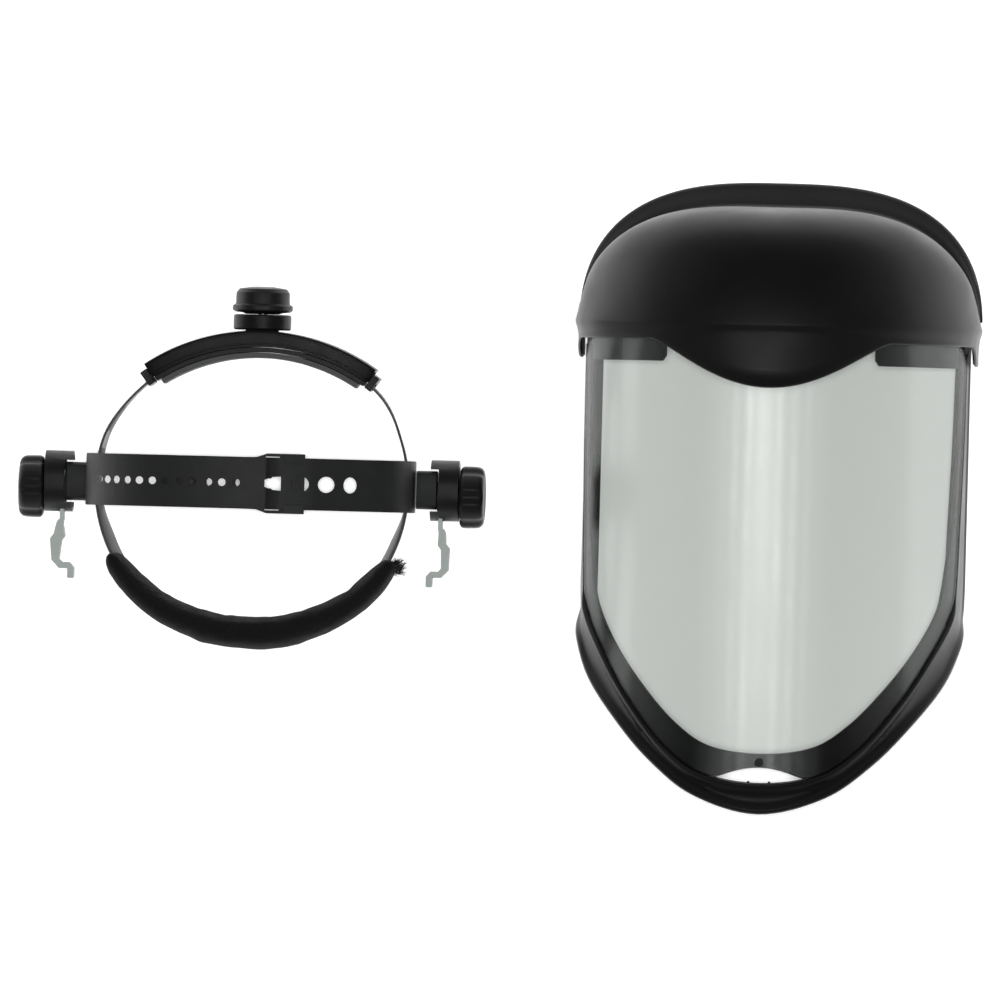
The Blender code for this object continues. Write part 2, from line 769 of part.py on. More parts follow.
def make_right_crown_strap(parent, material):
    """Strap that dives through the slot and runs on under the other one as a tongue."""
    leg = [Vector((CROWN_HALF_SPAN, up)) for up in (0.0100, 0.0250, 0.0420)]
    path = leg + crown_arch(0.0, travel_at(TONGUE_END), 56)
    step = CROWN_THICKNESS + 2 * GAP

    def offset(point):
        return -step + 2 * step * smoothstep(SLOT_LOW + 0.0005, SLOT_HIGH - 0.0005, point.x)

    def level(point):
        over = smoothstep(KEEPER_END + 0.0015, KEEPER_END + 0.0165, point.x)
        return offset(point) * (1 - over)

    def half_width(point):
        tip = smoothstep(TONGUE_END, TONGUE_END + 0.0060, point.x)
        return (CROWN_WIDTH / 2) * (0.55 + 0.45 * tip)

    strap = add_part("right_crown_strap", [strap_over_head(path, level, half_width)], material, parent)
    holes = [hole_through(across, SMALL_HOLE + 0.0006) for across in TONGUE_HOLES]
    holes += [hole_through(STUD_AT, 0.0012 + GAP)]
    holes += [hole_through(across, LARGE_HOLE, stretch) for across, stretch in LARGE_HOLES]
    add_boolean(strap, holes)
    add_boolean(strap, [keyhole()])


def make_crown_keeper(parent, material):
    """Two folded tabs at the edges of the widened end, which hold the upper strap down."""
    path = crown_arch(travel_at(KEEPER_END - 0.0005), travel_at(SLOT_HIGH + 0.0020), 4)
    for side, name in ((-1, "front_keeper_tab"), (1, "rear_keeper_tab")):
        rings = []
        for index, point in enumerate(path):
            tangent = (path[min(index + 1, 4)] - path[max(index - 1, 0)]).normalized()
            normal = Vector((tangent.y, -tangent.x))
            edge = CROWN_WIDTH / 2
            section = [(edge + GAP, CROWN_THICKNESS / 2 + GAP), (edge + 0.0023, CROWN_THICKNESS / 2 + GAP),
                       (edge + 0.0023, 0.0046), (edge - 0.0030, 0.0046),
                       (edge - 0.0030, 0.0034), (edge + GAP, 0.0034)]
            ring = []
            for across, out in section:
                spot = point + normal * out
                ring.append(Vector((spot.x, CROWN_Y + side * across, spot.y)))
            rings.append(ring)
        add_part(name, [loft(rings)], material, parent)


def make_crown_stud(parent, material):
    """Snap button that pins the tongue to a hole of the upper strap."""
    top = crown_point(travel_at(STUD_AT)).y
    shaft = turned("Z", (STUD_AT, CROWN_Y, top),
                   [(0.0012, -0.0036), (0.0012, 0.0009), (0.0018, 0.0013), (0.0011, 0.0022)], 16)
    stud = add_part("crown_stud", [shaft], material, parent)
    foot = turned("Z", (STUD_AT, CROWN_Y, top), [(0.0032, -0.0044), (0.0032, -0.0034)], 16)
    add_boolean(stud, [foot], "UNION")


# ---------------------------------------------------------------- rear adjuster

def rear_sweep(low, high, count, section_at):
    rings = []
    for k in range(count + 1):
        angle = low + (high - low) * k / count
        normal = Vector((math.sin(angle), math.cos(angle)))
        point = Vector((REAR_RADIUS * normal.x, REAR_CENTRE_Y + REAR_RADIUS * normal.y))
        rings.append(strap_ring(point, normal, section_at(angle)))
    return loft(rings)


def cover_half_height(angle):
    return 0.0125 + 0.0050 * math.cos(angle / REAR_HALF_ANGLE * math.pi / 2) ** 0.6


def make_rear_cover(parent, material):
    """Channel-shaped cover, open towards the head, with a hole for the ratchet shaft."""
    def section(angle):
        half = cover_half_height(min(max(angle, -REAR_HALF_ANGLE * 0.999), REAR_HALF_ANGLE * 0.999))
        low = BAND_MID_Z - half
        high = BAND_MID_Z + half
        wall = 0.0018
        return [(0.0, low), (0.0085, low), (0.0092, low + 0.0015), (0.0092, high - 0.0015),
                (0.0085, high), (0.0, high), (0.0, high - wall), (0.0092 - wall, high - wall),
                (0.0092 - wall, low + wall), (0.0, low + wall)]

    cover = rear_sweep(-REAR_HALF_ANGLE, REAR_HALF_ANGLE, 28, section)
    obj = add_part("rear_band_cover", [cover], material, parent)
    shaft = turned("Y", (0, 0, RATCHET_Z), [(0.0034, 0.080), (0.0034, 0.105)], 20)
    add_boolean(obj, [shaft])


def make_rear_plates(parent, material, liner_material):
    """Inner plate that closes the cover, and the soft liner against the head."""
    def plate_section(angle):
        half = cover_half_height(angle) - 0.0010
        return flat_at(-0.0030, -GAP, half)

    def liner_section(angle):
        half = cover_half_height(angle) - 0.0022
        return flat_at(-0.0064, -0.0030 - GAP, half)

    reach = REAR_HALF_ANGLE * 0.985
    plate = rear_sweep(-reach, reach, 24, plate_section)
    add_part("rear_inner_plate", [plate], material, parent)
    liner = rear_sweep(-reach * 0.96, reach * 0.96, 24, liner_section)
    add_part("rear_liner", [liner], liner_material, parent)


def flat_at(inner, outer, half):
    return [(inner, BAND_MID_Z - half), (outer, BAND_MID_Z - half),
            (outer, BAND_MID_Z + half), (inner, BAND_MID_Z + half)]


def make_end_lug(side, parent, material):
    """Guide at the end of the cover, with the slit that the strap passes through."""
    name = "right_end_lug" if side > 0 else "left_end_lug"

    def section(angle):
        return [(-0.0030, 0.0050), (0.0062, 0.0050), (0.0062, 0.0300), (-0.0030, 0.0300)]

    low = REAR_HALF_ANGLE + GAP / REAR_RADIUS
    lug = rear_sweep(low, low + 0.0042 / REAR_RADIUS, 2, section)
    obj = add_part(name, [for_side(side, lug)], material, parent)
    middle = low + 0.0021 / REAR_RADIUS
    centre = Vector((REAR_RADIUS * math.sin(middle), REAR_CENTRE_Y + REAR_RADIUS * math.cos(middle)))
    along = Vector((math.cos(middle), -math.sin(middle)))
    outward = Vector((math.sin(middle), math.cos(middle)))
    rings = []
    for step in (-0.008, 0.008):
        spot = centre + along * step
        rings.append(strap_ring(spot, outward, [(-0.0014, 0.0085), (0.0020, 0.0085),
                                                (0.0020, 0.0265), (-0.0014, 0.0265)]))
    add_boolean(obj, [for_side(side, loft(rings))])


def make_ratchet_housing(parent, material):
    """Round cup on the back of the cover that holds the pawl ring."""
    profile = [(0.0034, 0.0937), (RATCHET_RADIUS - 0.0006, 0.0937), (RATCHET_RADIUS, 0.0945),
               (RATCHET_RADIUS, 0.1018), (RATCHET_RADIUS - 0.0008, 0.1024),
               (0.0135, 0.1024), (0.0135, 0.0962), (0.0034, 0.0962)]
    housing = turned("Y", (0, 0, RATCHET_Z), profile, 36, closed=True)
    add_part("ratchet_housing", [housing], material, parent)


def tooth_ring(inner, outer, teeth, along):
    """Inner ring of saw teeth for the pawl ring."""
    ring = []
    for tooth in range(teeth):
        for share, radius in ((0.0, inner), (0.85, outer)):
            angle = 2 * math.pi * (tooth + share) / teeth
            ring.append(place("Y", (0, 0, RATCHET_Z), radius * math.cos(angle),
                              radius * math.sin(angle), along))
    return ring


def make_pawl_ring(parent, material):
    teeth = 24
    sides = teeth * 2
    rings = []
    for radius, along in ((0.0132, 0.0965), (0.0132, 0.0990)):
        rings.append(round_ring("Y", (0, 0, RATCHET_Z), radius, along, sides))
    rings.append(tooth_ring(0.0108, 0.0118, teeth, 0.0990))
    rings.append(tooth_ring(0.0108, 0.0118, teeth, 0.0965))
    add_part("pawl_ring", [loft(rings, closed=True)], material, parent)


def make_rack(side, parent, material):
    """Toothed tail of a side strap; the right one runs above the pinion, the left one below."""
    name = "right_rack" if side > 0 else "left_rack"
    low = math.radians(-10)
    high = math.radians(18)
    teeth = 26
    face = 0.0050
    rings = []
    for k in range(2 * teeth + 1):
        angle = low + (high - low) * k / (2 * teeth)
        normal = Vector((math.sin(angle), math.cos(angle)))
        point = Vector((REAR_RADIUS * normal.x, REAR_CENTRE_Y + REAR_RADIUS * normal.y))
        root = face + (0.0009 if k % 2 else 0.0)
        section = [(0.0024, BAND_MID_Z + side * root), (0.0044, BAND_MID_Z + side * root),
                   (0.0044, BAND_MID_Z + side * 0.0100), (0.0024, BAND_MID_Z + side * 0.0100)]
        ring = [Vector((point.x + normal.x * out, point.y + normal.y * out, up)) for out, up in section]
        rings.append([Vector((side * p.x, p.y, p.z)) for p in ring])
    anchor = (0, REAR_CENTRE_Y, BAND_MID_Z)
    add_part(name, [loft(rings)], material, parent, anchor)


def make_ratchet_knob(parent, material, steel):
    """Two-winged knob on the shaft whose pinion drives the racks."""
    axis_point = (0, 0, RATCHET_Z)
    anchor = (0, 0.100, RATCHET_Z)

    def wings(angle):
        return 1.0 + 0.045 * math.cos(2 * angle) ** 3

    profile = [(0.0090, 0.1028), (0.0110, 0.1036), (0.0150, 0.1040), (RATCHET_RADIUS, 0.1050),
               (RATCHET_RADIUS, 0.1075), (0.0148, 0.1085), (0.0146, 0.1150), (0.0130, 0.1172),
               (0.0060, 0.1183)]
    knob = add_part("ratchet_knob", [turned("Y", axis_point, profile, 40, shape=wings)],
                    material, parent, anchor)
    add_boolean(knob, [turned("Y", axis_point, [(0.0033, 0.1000), (0.0033, 0.1103)], 20)])
    shaft = turned("Y", axis_point, [(0.0022, 0.0862), (0.0022, 0.0904), (0.0030, 0.0904),
                                     (0.0030, 0.1098)], 20)
    add_part("ratchet_shaft", [shaft], steel, parent, anchor)
    rings = []
    for along in (0.0862, 0.0895):
        ring = []
        for k in range(24):
            radius = 0.0046 if k % 2 else 0.0037
            angle = 2 * math.pi * k / 24
            ring.append(place("Y", axis_point, radius * math.cos(angle), radius * math.sin(angle), along))
        rings.append(ring)
    pinion = add_part("ratchet_pinion", [loft(rings)], material, parent, anchor)
    add_boolean(pinion, [turned("Y", axis_point, [(0.0025, 0.0850), (0.0025, 0.0905)], 20)])


# ---------------------------------------------------------------- tilt pivots

def make_bracket_arm(side, parent, material):
    """Arm on the temple that carries the pivot bolt."""
    name = "right_bracket_arm" if side > 0 else "left_bracket_arm"
    outline = rounded_box((0.0045, PIVOT_Z), (0.0110, 0.0090), 0.0030)
    arm = prism("X", outline, ARM_INNER, ARM_OUTER)
    obj = add_part(name, [for_side(side, arm)], material, parent)
    centre = (0, PIVOT_Y, PIVOT_Z)
    bore = turned("X", centre, [(0.0052, ARM_INNER - 0.001), (0.0052, ARM_INNER + 0.0024),
                                (BOLT_HOLE, ARM_INNER + 0.0024), (BOLT_HOLE, ARM_OUTER + 0.001)], 20)
    add_boolean(obj, [for_side(side, bore)])


def make_pivot_bolt(side, parent, material):
    name = "right_pivot_bolt" if side > 0 else "left_pivot_bolt"
    profile = [(0.0046, ARM_INNER + GAP), (0.0046, ARM_INNER + 0.0021),
               (BOLT_RADIUS, ARM_INNER + 0.0021), (BOLT_RADIUS, 0.1255)]
    bolt = turned("X", (0, PIVOT_Y, PIVOT_Z), profile, 20)
    add_part(name, [for_side(side, bolt)], material, parent, (0, PIVOT_Y, PIVOT_Z))


def stadium(inset, count=10):
    """Outline of the pivot housing in the Y-Z plane: taller to the rear than to the front."""
    radius = 0.0140 - inset
    front = PIVOT_Y
    rear = 0.0078
    outline = []
    for k in range(count + 1):
        angle = -math.pi / 2 + math.pi * k / count
        outline.append((rear + radius * math.cos(angle), PIVOT_Z + radius * math.sin(angle)))
    for k in range(count + 1):
        angle = math.pi / 2 + math.pi * k / count
        outline.append((front + radius * math.cos(angle), PIVOT_Z + radius * math.sin(angle)))
    return outline


def make_pivot_housing(side, parent, material):
    """Housing that swings on the bolt: a drum with two lips that reach in past the arm."""
    name = "right_pivot_housing" if side > 0 else "left_pivot_housing"
    recess = 0.1098
    body = prism("X", stadium(0), HOUSING_INNER, HOUSING_OUTER)
    anchor = (side * recess, PIVOT_Y, PIVOT_Z)
    obj = add_part(name, [for_side(side, body)], material, parent, anchor)
    cavity = prism("X", stadium(0.0023), HOUSING_INNER - 0.001, recess)
    add_boolean(obj, [for_side(side, cavity)])
    window = block((HOUSING_INNER - 0.001, -0.0075, 0.0), (0.1072, 0.0165, 0.05))
    add_boolean(obj, [for_side(side, window)])
    bolt = turned("X", (0, PIVOT_Y, PIVOT_Z), [(BOLT_HOLE, 0.1080), (BOLT_HOLE, 0.1200)], 20)
    notch = block((0.1068, -0.0160, PIVOT_Z - 0.0058), (0.1096, -0.0080, PIVOT_Z + 0.0058))
    add_boolean(obj, [for_side(side, bolt), for_side(side, notch)])


CLIP_PATH = [(0.1084, -0.0085), (0.1084, -0.0175), (0.1096, -0.0190), (0.1096, -0.0265),
             (0.1116, -0.0290), (0.1116, -0.0405), (0.1086, -0.0437), (0.1040, -0.0437),
             (0.1027, -0.0452), (0.1027, -0.0510)]


def make_shield_clip(side, parent, material):
    """Springy clip that plugs into the shield: an eye on the bolt, a cranked arm and a hook."""
    name = "right_shield_clip" if side > 0 else "left_shield_clip"
    anchor = (0, PIVOT_Y, PIVOT_Z)
    arm = prism("Z", ribbon_outline(CLIP_PATH, 0.00115), PIVOT_Z - 0.0050, PIVOT_Z + 0.0050)
    obj = add_part(name, [for_side(side, arm)], material, parent, anchor)
    eye = turned("X", anchor, [(0.0100, 0.1074), (0.0100, 0.1094)], 28)
    add_boolean(obj, [for_side(side, eye)], "UNION")
    bore = turned("X", anchor, [(BOLT_HOLE, 0.1060), (BOLT_HOLE, 0.1110)], 20)
    add_boolean(obj, [for_side(side, bore)])


def make_friction_disc(side, parent, material):
    name = "right_friction_disc" if side > 0 else "left_friction_disc"
    disc = washer("X", (0, PIVOT_Y, PIVOT_Z), BOLT_HOLE, 0.0085, ARM_OUTER + GAP, 0.1071)
    add_part(name, [for_side(side, disc)], material, parent, (0, PIVOT_Y, PIVOT_Z))


def make_tension_knob(side, parent, material, steel):
    """Round knob with a lobed grip, screwed on the bolt by the nut set in its back."""
    word = "right" if side > 0 else "left"
    centre = (0, PIVOT_Y, PIVOT_Z)

    def lobes(angle):
        return 1.0 + 0.030 * math.cos(6 * angle)

    profile = [(0.0105, KNOB_INNER), (0.0160, KNOB_INNER + 0.0008), (0.0172, KNOB_INNER + 0.0026),
               (0.0172, KNOB_INNER + 0.0100), (0.0160, KNOB_OUTER - 0.0016),
               (0.0135, KNOB_OUTER - 0.0004), (0.0060, KNOB_OUTER)]
    knob = turned("X", centre, profile, 42, shape=lobes)
    obj = add_part(f"{word}_tension_knob", [for_side(side, knob)], material, parent, centre)
    pocket = turned("X", centre, [(0.0053, KNOB_INNER - 0.001), (0.0053, KNOB_INNER + 0.0046)], 6)
    add_boolean(obj, [for_side(side, pocket)])
    bore = turned("X", centre, [(BOLT_HOLE, KNOB_INNER + 0.0020), (BOLT_HOLE, 0.1260)], 20)
    add_boolean(obj, [for_side(side, bore)])
    nut_low = KNOB_INNER + 0.0003
    nut = turned("X", centre, [(0.0049, nut_low), (0.0049, nut_low + 0.0040)], 6)
    nut_obj = add_part(f"{word}_knob_nut", [for_side(side, nut)], steel, parent, centre)
    hole = turned("X", centre, [(BOLT_HOLE, KNOB_INNER - 0.001), (BOLT_HOLE, KNOB_INNER + 0.006)], 20)
    add_boolean(nut_obj, [for_side(side, hole)])


def make_headgear(black, soft_black, dark, grey, clip_grey, steel):
    base = make_empty("headgear_origin", HEADGEAR_AT)
    make_front_band(base, dark)
    make_sweatband(base, soft_black)
    make_left_crown_strap(base, dark)
    make_right_crown_strap(base, dark)
    make_crown_keeper(base, dark)
    make_crown_stud(base, dark)
    rear = make_empty("rear_adjuster_origin", (REAR_SHIFT, 0, 0), base)
    make_rear_cover(rear, black)
    make_rear_plates(rear, dark, grey)
    make_ratchet_housing(rear, black)
    make_pawl_ring(rear, dark)
    make_ratchet_knob(rear, black, steel)
    for side in (-1, 1):
        make_side_strap(side, base, grey)
        make_end_lug(side, rear, black)
        make_rack(side, rear, dark)
        make_bracket_arm(side, base, dark)
        make_pivot_bolt(side, base, steel)
        make_pivot_housing(side, base, black)
        make_shield_clip(side, base, clip_grey)
        make_friction_disc(side, base, dark)
        make_tension_knob(side, base, black, steel)


def main():
    clear_scene()
    black = make_material("black_shell_plastic", BLACK, 0.35)
    plate_black = make_material("black_matt_plastic", BLACK, 0.5)
    soft_black = make_material("black_sweatband_fabric", SOFT_BLACK, 0.95)
    dark = make_material("dark_strap_plastic", DARK_GREY, 0.45)
    grey = make_material("grey_strap_plastic", MID_GREY, 0.5)
    clip_grey = make_material("grey_clip_plastic", CLIP_GREY, 0.4)
    steel = make_material("steel", STEEL, 0.3, 1.0)
    clear = make_material("clear_polycarbonate", CLEAR, 0.05, 0.0, 0.35)
    make_shield(black, plate_black, clear)
    make_headgear(black, soft_black, dark, grey, clip_grey, steel)


main()
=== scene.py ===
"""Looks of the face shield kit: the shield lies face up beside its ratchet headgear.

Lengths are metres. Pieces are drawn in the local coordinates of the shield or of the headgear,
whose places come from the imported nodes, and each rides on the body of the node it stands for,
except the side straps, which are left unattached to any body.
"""
import json
import math
import random

import bmesh
import bpy
from mathutils import Matrix, Vector, noise


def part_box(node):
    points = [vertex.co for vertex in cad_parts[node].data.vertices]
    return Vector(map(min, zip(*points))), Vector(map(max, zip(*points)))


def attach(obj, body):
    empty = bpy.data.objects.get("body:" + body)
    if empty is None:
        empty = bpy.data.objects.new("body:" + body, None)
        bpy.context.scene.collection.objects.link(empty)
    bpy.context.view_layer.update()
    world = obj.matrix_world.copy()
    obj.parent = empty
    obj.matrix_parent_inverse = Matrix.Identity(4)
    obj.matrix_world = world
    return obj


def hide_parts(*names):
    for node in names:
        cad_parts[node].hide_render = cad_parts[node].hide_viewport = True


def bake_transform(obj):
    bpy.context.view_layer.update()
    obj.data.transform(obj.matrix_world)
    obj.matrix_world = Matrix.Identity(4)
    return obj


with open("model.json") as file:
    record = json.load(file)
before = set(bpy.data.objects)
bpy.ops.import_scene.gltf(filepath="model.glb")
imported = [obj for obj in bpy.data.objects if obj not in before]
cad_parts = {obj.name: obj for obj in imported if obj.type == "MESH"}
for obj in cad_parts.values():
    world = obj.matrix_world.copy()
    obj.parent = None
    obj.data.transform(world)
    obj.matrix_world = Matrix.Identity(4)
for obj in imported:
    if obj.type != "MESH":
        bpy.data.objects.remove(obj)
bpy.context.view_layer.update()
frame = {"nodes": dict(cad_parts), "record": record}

MM = 0.001
GAP = 0.0003                      # air between sheets that lie on each other
FLOOR_RADIUS = 9.0
FLOOR_SIDES = 48
FLOOR_DROP = 0.0002

# light: lamps are (place, size, power)
ZENITH_LIGHT = 0.03
HORIZON_LIGHT = 0.40
WORLD_FADE = (0.05, 0.7)          # heights of the sky between which it darkens
LIGHT_AIM = (0, 0, 0.05)
KEY_SIZE = (0.8, 0.8)
KEY_POWER = 2850
REAR_SOFTBOX = ((0.1, 2.6, 0.9), (2.4, 0.5), 0.5)
FRONT_SOFTBOX = ((0.1, -2.6, 0.8), (2.4, 0.5), 2.0)
STRIP_HEIGHT = 2.2
STRIP_WIDTH = 0.10
STRIP_PANEL = 0.34                # panels of the overhead strip lamp, brightest at the middle
STRIP_POWER = (0.12, 0.30, 0.65, 1.15, 1.5, 1.15, 0.65, 0.30, 0.12)

# colours
BLACK = (0.0030, 0.0030, 0.0033)
GLASS_TINT = (0.785, 0.797, 0.785, 1.0)
GLASS_MIRROR = (0.05, 0.30)       # share of mirror reflection, face on and at a grazing angle
GLASS_FALLOFF = 5.0
MIX_A, MIX_B, MIX_RESULT = 6, 7, 2    # colour sockets of a Mix node

# camera: far away and a little to the right, turned slightly about its own axis
CAMERA_EYE = (0.80315, -0.0055, 16.0)
CAMERA_AIM = (0.00315, -0.0055, 0.06)
CAMERA_ROLL = math.radians(1.5)
CAMERA_LENS = 1007.0
CAMERA_SENSOR = 36.0

# shield: the visor is bent round a vertical U with straight legs
BEND_RADIUS = 0.108
BEND_HEIGHT = 0.040
QUARTER = BEND_RADIUS * math.pi / 2
REAR_EDGE = QUARTER + BEND_HEIGHT
VISOR_THICKNESS = 0.001
PLATE_THICKNESS = 0.002
VISOR_TOP = 0.098
STEPS = 8                         # samples between two stations of a chin outline
WINDOW_EDGE = [(0, -140), (30, -136), (52, -123), (76, -102), (100, -79.5), (121, -58),
               (128, -45), (133, -30), (144, 0), (152, 40), (157, 90)]
RIDGE_LINE = [(0, -157), (33, -152), (57, -137), (84, -111), (110, -84), (132, -64),
              (143, -51), (147, -34), (151, 0), (157, 40), (162, 90)]
OUTER_EDGE = [(0, -174.5), (37, -165), (66, -146), (98, -120), (128, -97.5), (150, -80),
              (176, -65), (206, -50), (209.3, 0), (209.3, 45), (209.3, 100)]
VENT_HALF_WIDTH = 0.0245
VENT_DEPTH = 0.0085
PLATE_MARGIN = 0.0005             # how far the inner plate stops short of the ridge
POST_AROUND = 0.006
POST_SECTION = ((0.0008, 0.0), (0.0008, 0.0014), (0.0005, 0.0019))    # radius, height

# brow guard
BROW_BASE = 0.104
BROW_HALF_WIDTH = 0.1155
BROW_RISE = 0.0815
BROW_WALL = 0.0022
BROW_CLEAR = 0.0033
LIP_EDGE = 0.094
LIP_CREST = 0.0985
LIP_DROP = 0.011                  # how far the lip's edge drops towards the rear corners
LIP_STEP = 0.0022
BUMP_HALF_WIDTH = 0.065
BUMP_DROP = 0.0265
SWELL_HEIGHT = 0.0009
SWELL_WIDTH = 0.045
FLANGE_WIDTH = 0.0135
FLANGE_NARROW = 0.0022
GROOVE_HEIGHT = 0.020
RIM_SQUARENESS = (2.9, 2.3)       # powers of the rear rim's superellipse, across and up
RIM_CORNER = 0.80                 # share of the rim that lies over the bend
RIM_LEG = 0.19                    # share that lies over a straight leg
DOME_SQUARENESS = 0.36
DOME_FALL = 0.13
DOME_STEPS = 24
BROW_STATIONS = 60

# headgear
BAND_HALF_WIDTH = 0.0893
BAND_CENTRE_Y = 0.005
BAND_FRONT = 0.0855
BAND_REAR = 0.079
BAND_MID_Z = 0.0175
BAND_THICKNESS = 0.0018
BAND_SQUARENESS = 0.94
BAND_HALF_HEIGHT = 0.010
BAND_FLARE = 0.003                # how much taller each half grows towards the temples
BAND_LEAN = 0.0042                # how far the lower edge leans in at the temples
STRAP_HALF_HEIGHTS = (0.0130, 0.0085)
STRAP_END_Y = 0.0625
TEMPLE_Y = 0.018
CROWN_Y = 0.006
REAR_RADIUS = 0.1083
REAR_CENTRE_Y = -0.0243
REAR_HALF_ANGLE = math.radians(34.5)
REAR_SHIFT = 0.003
PIVOT_Y = 0.001
PIVOT_Z = 0.024
KNOB_INNER = 0.1190
KNOB_OUTER = 0.1335
KNOB_GRIPS = 6
CLIP_PATH = [(0.1090, -0.0182), (0.1096, -0.0200), (0.1096, -0.0265), (0.1116, -0.0290),
             (0.1116, -0.0405), (0.1086, -0.0437), (0.1040, -0.0437), (0.1027, -0.0452),
             (0.1027, -0.0508)]
BLADE_HALF_HEIGHT = 0.0052
THUMB_SWELLING = {-1: 0.0012, 1: 0.0003}    # the left clip has the wider thumb pad

# sweatband
PAD_ENDS = (math.radians(-27), math.radians(-153))
PAD_HALF_HEIGHT = 0.0165
PAD_FAT = 0.0058
PAD_CROWN = 0.0026
PAD_FOLD = 0.0014
PAD_STATIONS = 72
PAD_SIDES = 24
PAD_VOXEL = 0.0035
PAD_CAP = 0.0016                  # the farthest that the cloth may move a point
PAD_PRESSURE = 4.0
PAD_STIFFNESS = 8.0
PAD_FRAMES = 20
CREASE_DEPTH = 0.00035
LUMP_DEPTH = 0.0006
FIBRES = 260
FIBRE_STEPS = 4

# CAD nodes shown as rounded copies, each with the width of its rounding
ROUNDED = {"left_visor_retainer": 0.0004, "right_visor_retainer": 0.0004,
           "left_clip_socket": 0.0005, "right_clip_socket": 0.0005,
           "left_crown_strap": 0.00025, "right_crown_strap": 0.00025,
           "front_keeper_tab": 0.0003, "rear_keeper_tab": 0.0003,
           "left_bracket_arm": 0.0006, "right_bracket_arm": 0.0006,
           "left_pivot_housing": 0.0006, "right_pivot_housing": 0.0006,
           "left_shield_clip": 0.0004, "right_shield_clip": 0.0004,
           "left_end_lug": 0.0004, "right_end_lug": 0.0004,
           "ratchet_housing": 0.0003, "ratchet_knob": 0.0003, "chin_snap_stud": 0.0003}


def middle(node):
    low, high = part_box(node)
    return (Vector(low) + Vector(high)) / 2


SHIELD_AT = Vector((middle("visor").x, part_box("visor")[1][1] - VISOR_TOP, 0))
HEADGEAR_AT = Vector((middle("rear_band_cover").x - REAR_SHIFT, middle("crown_stud").y - CROWN_Y, 0))
REAR_AT = HEADGEAR_AT + Vector((REAR_SHIFT, 0, 0))


# ---------------------------------------------------------------- camera, light and floor

def make_camera():
    camera = bpy.data.objects.new("camera", bpy.data.cameras.new("camera"))
    bpy.context.scene.collection.objects.link(camera)
    camera.data.lens = CAMERA_LENS
    camera.data.sensor_width = CAMERA_SENSOR
    camera.data.clip_end = 60
    eye = Vector(CAMERA_EYE)
    look = (Vector(CAMERA_AIM) - eye).normalized()
    side = look.cross(Vector((0, 1, 0))).normalized()
    facing = Matrix((side, side.cross(look), -look)).transposed()
    turn = facing @ Matrix.Rotation(CAMERA_ROLL, 3, "Z")
    camera.matrix_world = Matrix.Translation(eye) @ turn.to_4x4()
    bpy.context.scene.camera = camera


def make_light(name, place, size, power, mirrored=True):
    """Soft rectangular lamp that faces the object, with or without its own reflection in gloss."""
    lamp = bpy.data.lights.new(name, "AREA")
    lamp.shape = "RECTANGLE"
    lamp.size, lamp.size_y = size
    lamp.energy = power
    obj = bpy.data.objects.new(name, lamp)
    bpy.context.scene.collection.objects.link(obj)
    obj.location = place
    obj.rotation_euler = (Vector(LIGHT_AIM) - Vector(place)).to_track_quat("-Z", "Y").to_euler()
    obj.visible_glossy = mirrored


def make_world():
    """Dark overhead, so that black plastic stays black from above, and brighter at the horizon."""
    world = bpy.data.worlds.new("studio")
    world.use_nodes = True
    tree = world.node_tree
    coords = tree.nodes.new("ShaderNodeTexCoord")
    parts = tree.nodes.new("ShaderNodeSeparateXYZ")
    tree.links.new(coords.outputs["Generated"], parts.inputs["Vector"])
    ramp = tree.nodes.new("ShaderNodeMapRange")
    for name, value in (("From Min", WORLD_FADE[0]), ("From Max", WORLD_FADE[1]),
                        ("To Min", HORIZON_LIGHT), ("To Max", ZENITH_LIGHT)):
        ramp.inputs[name].default_value = value
    tree.links.new(parts.outputs["Z"], ramp.inputs["Value"])
    tree.links.new(ramp.outputs["Result"], tree.nodes["Background"].inputs["Strength"])
    tree.nodes["Background"].inputs["Color"].default_value = (1.0, 1.0, 1.0, 1.0)
    bpy.context.scene.world = world


def make_floor(material):
    mesh = bpy.data.meshes.new("floor")
    edge = [(FLOOR_RADIUS * math.cos(2 * math.pi * k / FLOOR_SIDES),
             FLOOR_RADIUS * math.sin(2 * math.pi * k / FLOOR_SIDES), -FLOOR_DROP)
            for k in range(FLOOR_SIDES)]
    mesh.from_pydata(edge, [], [tuple(range(FLOOR_SIDES))])
    mesh.materials.append(material)
    floor = bpy.data.objects.new("floor", mesh)
    bpy.context.scene.collection.objects.link(floor)


# ---------------------------------------------------------------- materials

